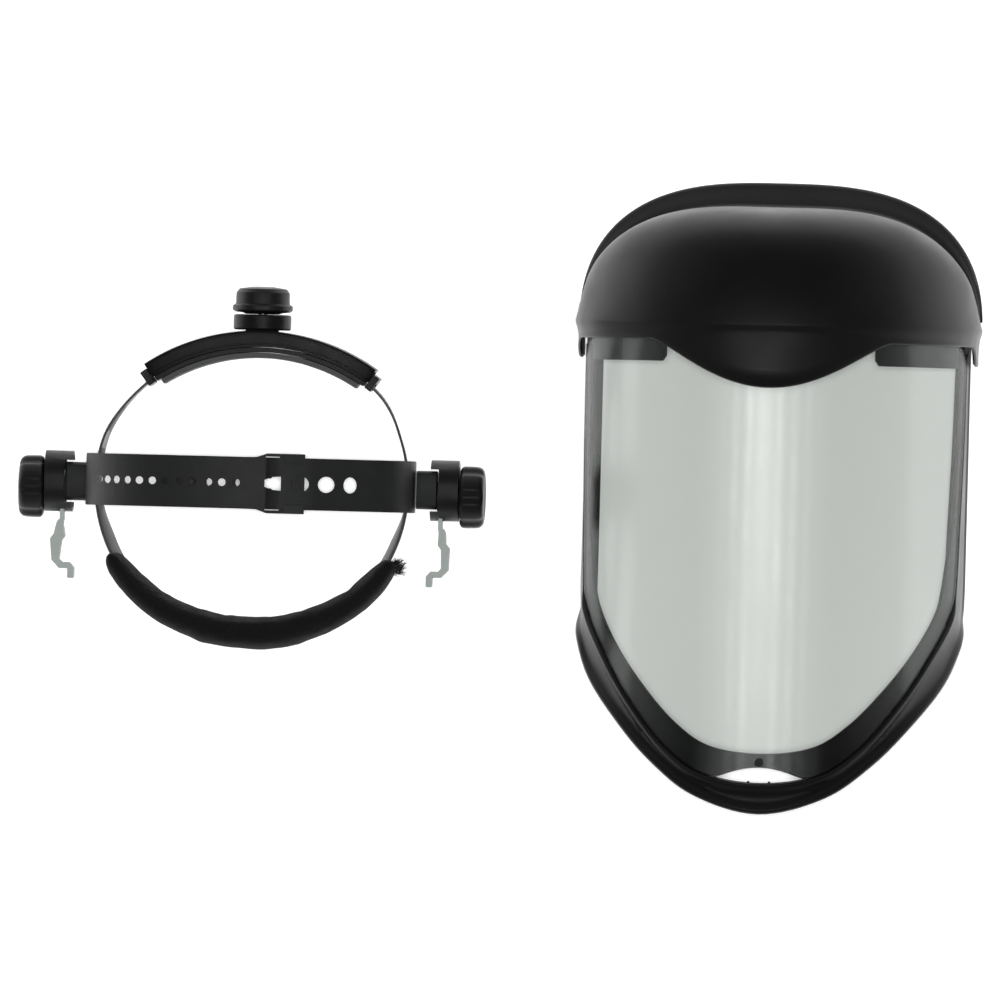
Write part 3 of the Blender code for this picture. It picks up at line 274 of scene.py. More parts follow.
class Finish:
    """A Principled material whose colour, roughness and bump come from procedural nodes."""

    def __init__(self, name, color, roughness, specular=0.5):
        self.mat = bpy.data.materials.new(name)
        self.mat.use_nodes = True
        self.tree = self.mat.node_tree
        self.shader = self.tree.nodes["Principled BSDF"]
        self.set(self.shader, {"Base Color": (*color, 1.0), "Roughness": roughness,
                               "Specular IOR Level": specular})
        self.coords = self.tree.nodes.new("ShaderNodeTexCoord").outputs["Object"]

    def set(self, node, values):
        for socket, value in values.items():
            node.inputs[socket].default_value = value

    def link(self, source, target):
        self.tree.links.new(source, target)

    def texture(self, kind, stretch, values):
        """Texture node in object coordinates, stretched along the axes."""
        mapping = self.tree.nodes.new("ShaderNodeMapping")
        mapping.inputs["Scale"].default_value = stretch
        self.link(self.coords, mapping.inputs["Vector"])
        node = self.tree.nodes.new(kind)
        self.set(node, values)
        self.link(mapping.outputs["Vector"], node.inputs["Vector"])
        return node

    def noise(self, scale, detail=3.0, stretch=(1, 1, 1), rough=0.55):
        values = {"Scale": scale, "Detail": detail, "Roughness": rough}
        return self.texture("ShaderNodeTexNoise", stretch, values).outputs["Fac"]

    def wave(self, scale, direction, distortion):
        values = {"Scale": scale, "Distortion": distortion, "Detail": 1.0}
        node = self.texture("ShaderNodeTexWave", (1, 1, 1), values)
        node.bands_direction = direction
        return node.outputs["Fac"]

    def spread(self, source, low, high, start=0.0, end=1.0):
        node = self.tree.nodes.new("ShaderNodeMapRange")
        self.set(node, {"From Min": start, "From Max": end, "To Min": low, "To Max": high})
        self.link(source, node.inputs["Value"])
        return node.outputs["Result"]

    def product(self, first, second):
        node = self.tree.nodes.new("ShaderNodeMath")
        node.operation = "MULTIPLY"
        self.link(first, node.inputs[0])
        self.link(second, node.inputs[1])
        return node.outputs["Value"]

    def tint(self, fac, low, high):
        node = self.tree.nodes.new("ShaderNodeMix")
        node.data_type = "RGBA"
        self.set(node, {MIX_A: (*low, 1.0), MIX_B: (*high, 1.0)})
        self.link(fac, node.inputs["Factor"])
        self.link(node.outputs[MIX_RESULT], self.shader.inputs["Base Color"])

    def rough(self, source, low, high):
        self.link(self.spread(source, low, high, 0.3, 0.7), self.shader.inputs["Roughness"])

    def bump(self, layers):
        """Layers are (height source, depth in metres)."""
        before = None
        for source, depth in layers:
            node = self.tree.nodes.new("ShaderNodeBump")
            node.inputs["Distance"].default_value = depth
            node.inputs["Strength"].default_value = 1.0
            self.link(source, node.inputs["Height"])
            if before:
                self.link(before, node.inputs["Normal"])
            before = node.outputs["Normal"]
        self.link(before, self.shader.inputs["Normal"])


def moulded(name, color, rough_low, rough_high, grain, depth, lighter=1.35, specular=0.5):
    """Moulded plastic: fine grain, cloudy gloss and faint pale rubbing."""
    finish = Finish(name, color, rough_low, specular)
    clouds = finish.noise(28, 4)
    rubbed = finish.noise(240, 5, (1, 3, 1), 0.7)
    finish.rough(clouds, rough_low, rough_high)
    finish.tint(finish.spread(rubbed, 0.0, 1.0, 0.45, 0.85), color, [c * lighter for c in color])
    finish.bump([(finish.noise(grain, 2), depth), (finish.noise(60, 2), depth * 4)])
    return finish.mat


def make_fabric():
    """Short-piled knit: fine ribs one way, a looser pile across, and pale lint."""
    finish = Finish("sweatband_knit", (0.010, 0.010, 0.011), 0.95, 0.25)
    finish.set(finish.shader, {"Sheen Weight": 0.07, "Sheen Roughness": 0.5,
                               "Sheen Tint": (0.55, 0.56, 0.58, 1.0)})
    ribs = finish.wave(420, "DIAGONAL", 1.2)
    pile = finish.noise(1500, 3)
    lint = finish.spread(finish.noise(700, 4, (1, 1, 1), 0.75), 0.0, 1.0, 0.60, 0.78)
    finish.tint(finish.product(lint, pile), (0.0045, 0.0045, 0.0050), (0.035, 0.035, 0.038))
    finish.rough(pile, 0.85, 1.0)
    finish.bump([(ribs, 0.00022), (pile, 0.00030), (finish.noise(160, 2), 0.0006)])
    return finish.mat


def make_steel():
    finish = Finish("plated_steel", (0.55, 0.55, 0.56), 0.28)
    finish.set(finish.shader, {"Metallic": 1.0})
    brushed = finish.noise(600, 3, (0.05, 1, 1))
    finish.rough(brushed, 0.22, 0.42)
    finish.bump([(brushed, 0.00002)])
    return finish.mat


def make_glass():
    """Clear sheet: tinted see-through film with soft mirror reflections and faint haze."""
    finish = Finish("clear_polycarbonate", (0.95, 0.97, 0.96), 0.2)
    finish.set(finish.shader, {"Metallic": 1.0})
    tree = finish.tree
    haze = finish.noise(35, 5, (1, 0.35, 1), 0.6)
    finish.rough(haze, 0.16, 0.24)
    clear = tree.nodes.new("ShaderNodeBsdfTransparent")
    clear.inputs["Color"].default_value = GLASS_TINT
    tilt = tree.nodes.new("ShaderNodeLayerWeight")
    grazing = tree.nodes.new("ShaderNodeMath")
    grazing.operation = "POWER"
    grazing.inputs[1].default_value = GLASS_FALLOFF
    finish.link(tilt.outputs["Facing"], grazing.inputs[0])
    mix = tree.nodes.new("ShaderNodeMixShader")
    finish.link(finish.spread(grazing.outputs["Value"], *GLASS_MIRROR), mix.inputs["Fac"])
    finish.link(clear.outputs["BSDF"], mix.inputs[1])
    finish.link(finish.shader.outputs["BSDF"], mix.inputs[2])
    finish.link(mix.outputs["Shader"], tree.nodes["Material Output"].inputs["Surface"])
    return finish.mat


def make_table_top():
    """Back-lit opal sheet: pale, matt and faintly glowing, so that shadows stay light."""
    finish = Finish("opal_table_top", (0.86, 0.86, 0.86), 0.9, 0.1)
    finish.set(finish.shader, {"Emission Color": (1.0, 1.0, 1.0, 1.0), "Emission Strength": 0.25})
    finish.rough(finish.noise(90, 2), 0.85, 0.95)
    finish.bump([(finish.noise(90, 2), 0.00002)])
    return finish.mat


shell_black = moulded("satin_black_shell", BLACK, 0.32, 0.44, 1400, 0.000010, 1.35, 0.32)
plate_black = moulded("matt_black_plate", (0.0045, 0.0046, 0.0050), 0.46, 0.58, 1900, 0.000018)
knob_black = moulded("grained_black_knob", (0.0035, 0.0035, 0.0038), 0.36, 0.50, 2200, 0.000020)
strap_dark = moulded("matt_dark_strap", (0.0085, 0.0088, 0.0090), 0.42, 0.56, 1700, 0.000016)
strap_grey = moulded("flexible_grey_strap", (0.024, 0.025, 0.025), 0.34, 0.48, 1200, 0.000012)
liner_grey = moulded("soft_grey_liner", (0.045, 0.047, 0.045), 0.50, 0.66, 900, 0.000020, 1.3)
clip_grey = moulded("waxy_grey_clip", (0.22, 0.245, 0.23), 0.30, 0.42, 800, 0.000010, 1.15)
steel = make_steel()
fabric = make_fabric()
glass = make_glass()
floor_white = make_table_top()


# ---------------------------------------------------------------- meshes

def thick_patch(outer, inner):
    """Closed solid between two grids of points of the same size."""
    rows, cols = len(outer), len(outer[0])
    points = [p for row in outer for p in row] + [p for row in inner for p in row]
    shift = rows * cols
    faces = []
    for i in range(rows - 1):
        for j in range(cols - 1):
            a = i * cols + j
            b = a + cols
            faces.append((a, b, b + 1, a + 1))
            faces.append((shift + a, shift + a + 1, shift + b + 1, shift + b))
    for i in range(rows - 1):
        for a in (i * cols, i * cols + cols - 1):
            faces.append((a, a + cols, a + cols + shift, a + shift))
    for j in range(cols - 1):
        for a in (j, (rows - 1) * cols + j):
            faces.append((a, a + 1, a + 1 + shift, a + shift))
    return points, faces


def loft(rings):
    """Solid through rings of points, capped at both ends."""
    count = len(rings[0])
    points = [p for ring in rings for p in ring]
    faces = []
    for i in range(len(rings) - 1):
        low, high = i * count, (i + 1) * count
        for j in range(count):
            k = (j + 1) % count
            faces.append((low + j, low + k, high + k, high + j))
    faces.append(tuple(range(count)))
    faces.append(tuple(range(len(points) - count, len(points))))
    return points, faces


def turned_about_pivot(profile, sides, shape):
    """Solid turned about the pivot line from (radius, x) pairs; shape scales the radius."""
    rings = []
    for radius, along in profile:
        ring = []
        for k in range(sides):
            angle = 2 * math.pi * k / sides
            reach = radius * shape(angle, radius)
            ring.append(Vector((along, PIVOT_Y + reach * math.cos(angle),
                                PIVOT_Z + reach * math.sin(angle))))
        rings.append(ring)
    return loft(rings)


def smoothstep(low, high, value):
    t = min(max((value - low) / (high - low), 0.0), 1.0)
    return t * t * (3 - 2 * t)


def flipped(solid):
    points, faces = solid
    return [Vector((-p[0], p[1], p[2])) for p in points], faces


def add_modifier(obj, kind, **values):
    modifier = obj.modifiers.new(kind.title(), kind)
    for name, value in values.items():
        setattr(modifier, name, value)
    return modifier


def soften_edges(obj, width, angle=35, segments=2):
    add_modifier(obj, "BEVEL", width=width, segments=segments, limit_method="ANGLE",
                 angle_limit=math.radians(angle), harden_normals=True)


def settle(obj):
    """Replace the object's mesh by its mesh with modifiers applied."""
    graph = bpy.context.evaluated_depsgraph_get()
    mesh = bpy.data.meshes.new_from_object(obj.evaluated_get(graph))
    obj.modifiers.clear()
    obj.data = mesh


def link_mesh(name, mesh, material):
    mesh.materials.clear()
    mesh.materials.append(material)
    obj = bpy.data.objects.new(name, mesh)
    bpy.context.scene.collection.objects.link(obj)
    return obj


def solid_mesh(name, solid, at, sharp=35):
    points, faces = solid
    mesh = bpy.data.meshes.new(name)
    mesh.from_pydata([Vector(p) + at for p in points], [], faces)
    build = bmesh.new()
    build.from_mesh(mesh)
    bmesh.ops.remove_doubles(build, verts=build.verts, dist=1e-7)
    bmesh.ops.recalc_face_normals(build, faces=build.faces)
    build.to_mesh(mesh)
    build.free()
    mesh.shade_smooth()
    mesh.set_sharp_from_angle(angle=math.radians(sharp))
    return mesh


def stand_for(obj, body, slot, *nodes):
    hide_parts(*nodes)
    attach(obj, body)
    return obj


def body_of(node):
    return next(name for name, nodes in BODIES.items() if node in nodes)


BODIES = frame["record"]["behaviour"]["bodies"]
SLOTS = {row["node"]: row["material_slot"] for row in frame["record"]["subparts"]}
FINISHES = {"black_shell": shell_black, "black_matt_plate": plate_black, "clear_visor": glass,
            "black_knob": knob_black, "dark_strap": strap_dark, "grey_strap": strap_grey,
            "grey_liner": liner_grey, "grey_clip": clip_grey, "sweatband_fabric": fabric,
            "steel": steel}


def piece_for(node, solid, at, sharp=35, bevel=0.0):
    """A piece built from a solid that stands for one CAD node, riding on its body, with the finish of
    its slot.
    """
    obj = link_mesh(f"{node}_surface", solid_mesh(node, solid, at, sharp), FINISHES[SLOTS[node]])
    if bevel:
        soften_edges(obj, bevel)
    return stand_for(obj, body_of(node), SLOTS[node], node)


def softened_copy(node, bevel, angle=28, segments=2):
    """The CAD node's own shape with merged flats and rounded edges."""
    mesh = frame["nodes"][node].data.copy()
    build = bmesh.new()
    build.from_mesh(mesh)
    bmesh.ops.remove_doubles(build, verts=build.verts, dist=2e-6)
    bmesh.ops.dissolve_limit(build, angle_limit=math.radians(1.0), verts=build.verts,
                             edges=build.edges)
    bmesh.ops.recalc_face_normals(build, faces=build.faces)
    build.to_mesh(mesh)
    build.free()
    if "custom_normal" in mesh.attributes:
        mesh.attributes.remove(mesh.attributes["custom_normal"])
    mesh.shade_smooth()
    mesh.set_sharp_from_angle(angle=math.radians(angle))
    obj = link_mesh(f"{node}_rounded", mesh, FINISHES[SLOTS[node]])
    soften_edges(obj, bevel, angle, segments)
    return stand_for(obj, body_of(node), SLOTS[node], node)


# ---------------------------------------------------------------- shield

def on_bend(around, up, out):
    """Point on the visor's surface: distance round the bend, height up the face, offset outward."""
    reach = BEND_RADIUS + out
    if abs(around) <= QUARTER:
        angle = around / BEND_RADIUS
        return Vector((reach * math.sin(angle), up, BEND_HEIGHT + reach * math.cos(angle)))
    leg = abs(around) - QUARTER
    return Vector((math.copysign(reach, around), up, BEND_HEIGHT - leg))


def smooth_curve(points, steps):
    """Catmull-Rom curve through points in millimetres, level where it leaves the centre line."""
    result = []
    for index in range(len(points) - 1):
        p0 = Vector(points[index - 1]) if index else Vector((-points[1][0], points[1][1]))
        p1, p2 = Vector(points[index]), Vector(points[index + 1])
        p3 = Vector(points[min(index + 2, len(points) - 1)])
        for step in range(steps):
            t = step / steps
            result.append((2 * p1 + (p2 - p0) * t + (2 * p0 - 5 * p1 + 4 * p2 - p3) * t * t
                           + (3 * p1 - p0 - 3 * p2 + p3) * t ** 3) / 2 * MM)
    result.append(Vector(points[-1]) * MM)
    return result


def both_sides(half):
    return [Vector((-p.x, p.y)) for p in half[:0:-1]] + half


def chin_lines():
    window, ridge, outer = (both_sides(smooth_curve(line, STEPS))
                            for line in (WINDOW_EDGE, RIDGE_LINE, OUTER_EDGE))
    sheet_edge = []
    for line, inner in zip(ridge, window):
        gap = PLATE_MARGIN + VENT_DEPTH * max(1 - (line.x / VENT_HALF_WIDTH) ** 2, 0.0)
        sheet_edge.append(line + (inner - line).normalized() * gap)
    return window, sheet_edge, ridge, outer


def chin_frame_ring(ridge, inward, outer):
    """Cross-section of the chin guard and side frame: rolled inner ridge, hollow face, double lip."""
    width = (outer - ridge).length
    away = (outer - ridge) / width
    chin = 1 - smoothstep(-0.062, -0.046, ridge.y)
    lift = 0.4 + 0.6 * chin
    ledge = 0.006 * smoothstep(0.028, 0.040, abs(ridge.x)) + 0.0004
    skirt = 0.007 + 0.009 * chin
    back = -0.0046
    ring = [(0.0, -0.0027), (0.0, 0.0014 * lift), (0.0003, 0.0024 * lift), (0.0010, 0.0031 * lift),
            (0.0019, 0.0031 * lift), (0.0030, 0.0025 * lift), (0.0044, 0.0017 * lift),
            (0.35 * width, 0.0009), (0.55 * width, 0.0005), (width - 0.0062, 0.0008 * lift),
            (width - 0.0050, 0.0014 * lift), (width - 0.0042, 0.0026 * lift),
            (width - 0.0034, 0.0033 * lift), (width - 0.0022, 0.0036 * lift),
            (width - 0.0010, 0.0033 * lift), (width - 0.0002, 0.0024 * lift), (width, 0.0012 * lift),
            (width, -skirt), (width - 0.0020, -skirt), (width - 0.0022, -0.0016),
            (0.55 * width, -0.0018), (0.0022, -0.0014), (0.0020, back)]
    points = [on_bend(*(ridge + away * along), out) for along, out in ring]
    foot = ridge + inward * ledge
    return points + [on_bend(*foot, back), on_bend(*foot, -0.0027)]


def make_chin_frame():
    window, _, ridge, outer = chin_lines()
    rings = [chin_frame_ring(line, (inner - line).normalized(), edge)
             for inner, line, edge in zip(window, ridge, outer)]
    piece_for("chin_frame", loft(rings), SHIELD_AT, 42)


def make_vent_post(side):
    """One of the two tiny posts that stand in the chin vent."""
    foot = on_bend(side * POST_AROUND, -0.1575, -0.0012)
    rings = []
    for radius, along in POST_SECTION:
        turns = [k * math.pi / 8 for k in range(16)]
        rings.append([foot + Vector((radius * math.cos(turn), along, radius * math.sin(turn)))
                      for turn in turns])
    name = "right" if side > 0 else "left"
    post = link_mesh(f"{name}_vent_post", solid_mesh("post", loft(rings), SHIELD_AT), shell_black)
    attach(post, "shield")


def sheet(edge_rows, low, high):
    outer = [[on_bend(p.x, p.y, high) for p in row] for row in edge_rows]
    inner = [[on_bend(p.x, p.y, low) for p in row] for row in edge_rows]
    return thick_patch(outer, inner)


def between(a, b, count):
    return [a.lerp(b, index / count) for index in range(count + 1)]


def make_sheets():
    window, sheet_edge, _, _ = chin_lines()
    rows = [between(a, b, 6) for a, b in zip(window, sheet_edge)]
    piece_for("inner_chin_plate", sheet(rows, -GAP - PLATE_THICKNESS, -GAP), SHIELD_AT, 40, 0.0004)
    last = len(sheet_edge) - 1
    reach = sheet_edge[last].x
    rows = []
    for index, edge in enumerate(sheet_edge):
        rows.append(between(edge, Vector((reach * (2 * index / last - 1), VISOR_TOP)), 12))
    piece_for("visor", sheet(rows, 0.0, VISOR_THICKNESS), SHIELD_AT, 40)


def lip_edge(around):
    across = BEND_RADIUS * math.sin(min(abs(around) / BEND_RADIUS, math.pi / 2))
    bump = max(1 - (across / BUMP_HALF_WIDTH) ** 2, 0.0) ** 1.3
    return LIP_EDGE - BUMP_DROP * bump - LIP_DROP * smoothstep(0.150, 0.180, abs(around))


def rim_point(turn):
    """Point on the rear rim, from 0 at the middle to 1 at a side."""
    angle = math.pi / 2 * (1 - abs(turn))
    across = BROW_HALF_WIDTH * max(math.cos(angle), 0.0) ** (2 / RIM_SQUARENESS[0])
    rise = BROW_RISE * max(math.sin(angle), 0.0) ** (2 / RIM_SQUARENESS[1])
    return Vector((math.copysign(across, turn), BROW_BASE + rise, 0.0))


def rim_turn(around):
    """Where on the rear rim the row that starts at a distance round the bend ends."""
    if abs(around) >= QUARTER:
        turn = RIM_CORNER + RIM_LEG * (abs(around) - QUARTER) / (REAR_EDGE - QUARTER)
    else:
        across = math.sin(abs(around) / BEND_RADIUS)
        even = RIM_CORNER * (2 / math.pi) * math.asin(min(across, 1.0)) * 0.55
        turn = even + RIM_CORNER * 0.45 * across ** 2.2
    return math.copysign(turn, around)


def brow_row(around):
    """Outer surface of the brow guard from its lower edge over the dome to the rear rim."""
    low = lip_edge(around)
    base = BROW_CLEAR + BROW_WALL
    swell = SWELL_HEIGHT * math.exp(-(around / SWELL_WIDTH) ** 2)
    lip = ((low, -0.0008), (low + 0.0004, 0.0), (low + 0.0012, 0.0003 + swell * 0.4),
           (low + (LIP_CREST - low) * 0.35, 0.0002 + swell),
           (low + (LIP_CREST - low) * 0.7, 0.0003 + swell),
           (LIP_CREST, 0.0008 + swell * 0.4), (0.1005, 0.0014), (0.1020, 0.0019), (0.1032, 0.0021))
    row = [on_bend(around, up, base + out) for up, out in lip]
    start = on_bend(around, BROW_BASE, base + LIP_STEP)
    row.append(start)
    turn = rim_turn(around)
    rim = rim_point(turn)
    crown = math.cos(math.pi / 2 * min(abs(turn), 1.0))
    flange = FLANGE_NARROW + (FLANGE_WIDTH - FLANGE_NARROW) * crown
    inward = (Vector((0, BROW_BASE - 0.03, 0)) - rim).normalized()
    height = min(GROOVE_HEIGHT * (0.25 + 0.75 * crown), start.z * 0.45)
    groove = rim + inward * (flange + 0.0010) + Vector((0, 0, height))
    corner = Vector(((start.x + groove.x) / 2, BROW_BASE, groove.z))
    for step in range(1, DOME_STEPS + 1):
        angle = math.pi / 2 * step / DOME_STEPS
        run = math.sin(angle) ** DOME_SQUARENESS
        rise = math.cos(angle) ** DOME_SQUARENESS * (1 - DOME_FALL * run)
        row.append(corner + (start - corner) * rise + (groove - corner) * run)
    for deep, drop in ((0.0006, 0.10), (0.0012, 0.18), (0.0022, 0.22)):
        row.append(groove - inward * deep - Vector((0, 0, height * drop)))
    for share, climb in ((0.55, 0.60), (0.30, 0.44), (0.15, 0.37)):
        row.append(rim + inward * (share * flange) + Vector((0, 0, height * climb)))
    row.append(rim + inward * 0.0008 + Vector((0, 0, height * 0.30 + 0.0004)))
    row.append(rim + inward * 0.0001 + Vector((0, 0, height * 0.26)))
    row.append(rim)
    return row


def offset_grid(grid, depth):
    """Inner surface of a shell, kept above the table and within the outer surface's width."""
    rows, cols = len(grid), len(grid[0])
    result = []
    for i in range(rows):
        row = []
        for j in range(cols):
            along = grid[min(i + 1, rows - 1)][j] - grid[max(i - 1, 0)][j]
            across = grid[i][min(j + 1, cols - 1)] - grid[i][max(j - 1, 0)]
            point = grid[i][j] - along.cross(across).normalized() * depth
            point.z = max(point.z, 0.0)
            point.x = max(min(point.x, abs(grid[i][j].x)), -abs(grid[i][j].x))
            row.append(point)
        result.append(row)
    return result


def make_brow_guard():
    reach = REAR_EDGE - 0.003
    half = [reach * (stop / BROW_STATIONS) ** 0.96 for stop in range(BROW_STATIONS + 1)]
    outer = [brow_row(around) for around in [-value for value in half[:0:-1]] + half]
    piece_for("brow_guard", thick_patch(outer, offset_grid(outer, BROW_WALL)), SHIELD_AT, 50)


# ---------------------------------------------------------------- headgear

def band_point(angle):
    """Point in plan on the headband, a slightly squared oval."""
    reach = BAND_REAR if angle >= 0 else BAND_FRONT
    across = math.copysign(abs(math.cos(angle)) ** BAND_SQUARENESS, math.cos(angle))
    along = math.copysign(abs(math.sin(angle)) ** BAND_SQUARENESS, math.sin(angle))
    return Vector((BAND_HALF_WIDTH * across, BAND_CENTRE_Y + reach * along))


def band_angle(up):
    """Angle at which the rear half of the headband reaches a Y."""
    return math.asin(((up - BAND_CENTRE_Y) / BAND_REAR) ** (1 / BAND_SQUARENESS))


def path_frames(path):
    """Each point of a plan path with its normal, to the right of the travel."""
    frames = []
    for index, point in enumerate(path):
        tangent = (path[min(index + 1, len(path) - 1)] - path[max(index - 1, 0)]).normalized()
        frames.append((point, Vector((tangent.y, -tangent.x))))
    return frames


def strap_ring(point, normal, section):
    return [Vector((point.x + normal.x * out, point.y + normal.y * out, up)) for out, up in section]


def strap_section(thickness, low, high, lean=0.0):
    """Strap with softly rounded long edges, whose lower edge leans in under the upper one."""
    half, soft = thickness / 2, thickness * 0.35
    ring = [(-half, low + soft), (-half * 0.4, low), (half * 0.4, low), (half, low + soft),
            (half, high - soft), (half * 0.4, high), (-half * 0.4, high), (-half, high - soft)]
    return [(out - lean * (high - up) / (high - low), up) for out, up in ring]


def make_front_band():
    limit = band_angle(TEMPLE_Y)
    start = -math.pi - limit
    path = []
    for k in range(121):
        angle = start + (limit - start) * k / 120
        path.append(band_point(angle + 2 * math.pi if angle < -math.pi else angle))
    rings = []
    for point, normal in path_frames(path):
        flare = BAND_FLARE * smoothstep(-0.030, 0.005, point.y)
        upright = 1 - smoothstep(-0.030, 0.0, point.y) * 0.75
        lean = BAND_LEAN * smoothstep(-0.085, -0.040, point.y) * upright
        section = strap_section(BAND_THICKNESS, BAND_MID_Z - BAND_HALF_HEIGHT - flare,
                                BAND_MID_Z + BAND_HALF_HEIGHT + flare, lean)
        rings.append(strap_ring(point, normal, section))
    piece_for("front_headband", loft(rings), HEADGEAR_AT, 40)


def make_side_strap(side):
    """Thin strap that bends between the temple and the rear adjuster."""
    start, finish = band_angle(TEMPLE_Y) + 0.006, band_angle(STRAP_END_Y)
    path = []
    for k in range(41):
        point = band_point(start + (finish - start) * k / 40)
        lean = REAR_SHIFT * smoothstep(0.030, 0.062, point.y)
        path.append(Vector((side * point.x + lean, point.y)))
    rings = []
    tall, slim = STRAP_HALF_HEIGHTS
    for index, (point, normal) in enumerate(path_frames(path)):
        half = tall - (tall - slim) * smoothstep(0, 20, index)
        lean = side * BAND_LEAN * 0.25 * (1 - smoothstep(12, 36, index))
        section = strap_section(BAND_THICKNESS - 0.0004, BAND_MID_Z - half, BAND_MID_Z + half, lean)
        rings.append(strap_ring(point, normal, section))
    node = "right_side_strap" if side > 0 else "left_side_strap"
    obj = link_mesh(f"{node}_surface", solid_mesh(node, loft(rings), HEADGEAR_AT, 40), strap_grey)
    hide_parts(node)
    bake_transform(obj)


def make_sweatband():
    """Padded sleeve over the front band: a crowned tube, swollen by a short cloth simulation."""
    start, finish = PAD_ENDS
    count = PAD_STATIONS
    path = [band_point(start + (finish - start) * k / count) for k in range(count + 1)]
    rings = []
    for index, (point, normal) in enumerate(path_frames(path)):
        share = index / count
        end = min(share, 1 - share) * count
        middle_share = math.sin(math.pi * share)
        fold = smoothstep(0.36, 0.375, share) * (1 - smoothstep(0.625, 0.64, share))
        rounding = min(end / 3, 1) ** 0.5
        fat = (PAD_FAT + PAD_CROWN * middle_share ** 0.5) * (0.62 + 0.38 * rounding)
        outer_fat = fat - 0.0012 + PAD_FOLD * fold
        tall = PAD_HALF_HEIGHT * (0.90 + 0.10 * rounding)
        ring = []
        for k in range(PAD_SIDES):
            angle = 2 * math.pi * k / PAD_SIDES
            wide = math.copysign(abs(math.cos(angle)) ** 0.72, math.cos(angle))
            high = math.copysign(abs(math.sin(angle)) ** 0.80, math.sin(angle))
            reach = outer_fat if wide < 0 else fat
            ring.append(Vector((point.x + normal.x * wide * reach,
                                point.y + normal.y * wide * reach, BAND_MID_Z + high * tall)))
        rings.append(ring)
    obj = link_mesh("sweatband_padding", solid_mesh("sweatband", loft(rings), HEADGEAR_AT, 60), fabric)
    swell(obj)
    wrinkle(obj)
    stand_for(obj, "headband", "sweatband_fabric", "sweatband_pad")


def swell(obj):
    """Voxel remesh, inflate as cloth, and limit how far each point moves."""
    remesh = add_modifier(obj, "REMESH", mode="VOXEL", voxel_size=PAD_VOXEL)
    remesh.use_smooth_shade = True
    settle(obj)
    rest = [v.co.copy() for v in obj.data.vertices]
    cloth = add_modifier(obj, "CLOTH")
    cloth.settings.use_pressure = True
    cloth.settings.uniform_pressure_force = PAD_PRESSURE
    cloth.settings.effector_weights.gravity = 0.0
    cloth.settings.tension_stiffness = PAD_STIFFNESS
    cloth.settings.compression_stiffness = PAD_STIFFNESS
    cloth.point_cache.frame_start = 1
    cloth.point_cache.frame_end = PAD_FRAMES
    for step in range(1, PAD_FRAMES + 1):
        bpy.context.scene.frame_set(step)
    settle(obj)
    bpy.context.scene.frame_set(1)
    for vertex, before in zip(obj.data.vertices, rest):
        move = vertex.co - before
        if move.length > PAD_CAP:
            vertex.co = before + move.normalized() * PAD_CAP
    add_modifier(obj, "SUBSURF", levels=1, render_levels=1)
    settle(obj)


def wrinkle(obj):
    """Soft creases across the pad and a slight waviness of its surface."""
    mesh = obj.data
    normals = [v.normal.copy() for v in mesh.vertices]
    for vertex, normal in zip(mesh.vertices, normals):
        p = vertex.co
        crease = noise.noise(Vector((p.x * 130, p.y * 130, p.z * 18)))
        lump = noise.noise(Vector((p.x * 38 + 7, p.y * 38, p.z * 38)))
        vertex.co = p + normal * (CREASE_DEPTH * crease + LUMP_DEPTH * lump)
        vertex.co.z = max(vertex.co.z, 0.0)
    mesh.shade_smooth()


def rear_sweep(low, high, count, section_at):
    """Section swept round the rear arc between two angles from the middle."""
    rings = []
    for k in range(count + 1):
        angle = low + (high - low) * k / count
        normal = Vector((math.sin(angle), math.cos(angle)))
        point = Vector((REAR_RADIUS * normal.x, REAR_CENTRE_Y + REAR_RADIUS * normal.y))
        rings.append(strap_ring(point, normal, section_at(angle)))
    return loft(rings)


def cover_half_height(angle):
    return 0.0125 + 0.0050 * max(math.cos(angle / REAR_HALF_ANGLE * math.pi / 2), 0.0) ** 0.6


def make_rear_adjuster():
    def cover(angle):
        half = cover_half_height(min(max(angle, -REAR_HALF_ANGLE * 0.999), REAR_HALF_ANGLE * 0.999))
        low, high = BAND_MID_Z - half, BAND_MID_Z + half
        return [(0.0, low), (0.0080, low), (0.0089, low + 0.0005), (0.0092, low + 0.0015),
                (0.0092, high - 0.0016), (0.0089, high - 0.0006), (0.0081, high - 0.0002),
                (0.0079, high - 0.0007), (0.0073, high - 0.0007), (0.0071, high),
                (0.0022, high), (0.0020, high - 0.0006), (0.0014, high - 0.0006), (0.0012, high),
                (0.0, high), (0.0, high - 0.0018), (0.0074, high - 0.0018), (0.0074, low + 0.0018),
                (0.0, low + 0.0018)]

    def plate(angle):
        half = cover_half_height(angle) - 0.0010
        return [(-0.0030, BAND_MID_Z - half), (-GAP, BAND_MID_Z - half),
                (-GAP, BAND_MID_Z + half), (-0.0030, BAND_MID_Z + half)]

    def liner(angle):
        half = cover_half_height(angle) - 0.0022
        low, high = BAND_MID_Z - half, BAND_MID_Z + half
        return [(-0.0064, low + 0.0012), (-0.0058, low), (-0.0033, low), (-0.0033, high),
                (-0.0058, high), (-0.0064, high - 0.0012)]

    reach = REAR_HALF_ANGLE * 0.985
    piece_for("rear_band_cover", rear_sweep(-REAR_HALF_ANGLE, REAR_HALF_ANGLE, 90, cover), REAR_AT, 25)
    piece_for("rear_inner_plate", rear_sweep(-reach, reach, 90, plate), REAR_AT, 30, 0.0003)
    piece_for("rear_liner", rear_sweep(-reach * 0.96, reach * 0.96, 90, liner), REAR_AT, 50, 0.0003)


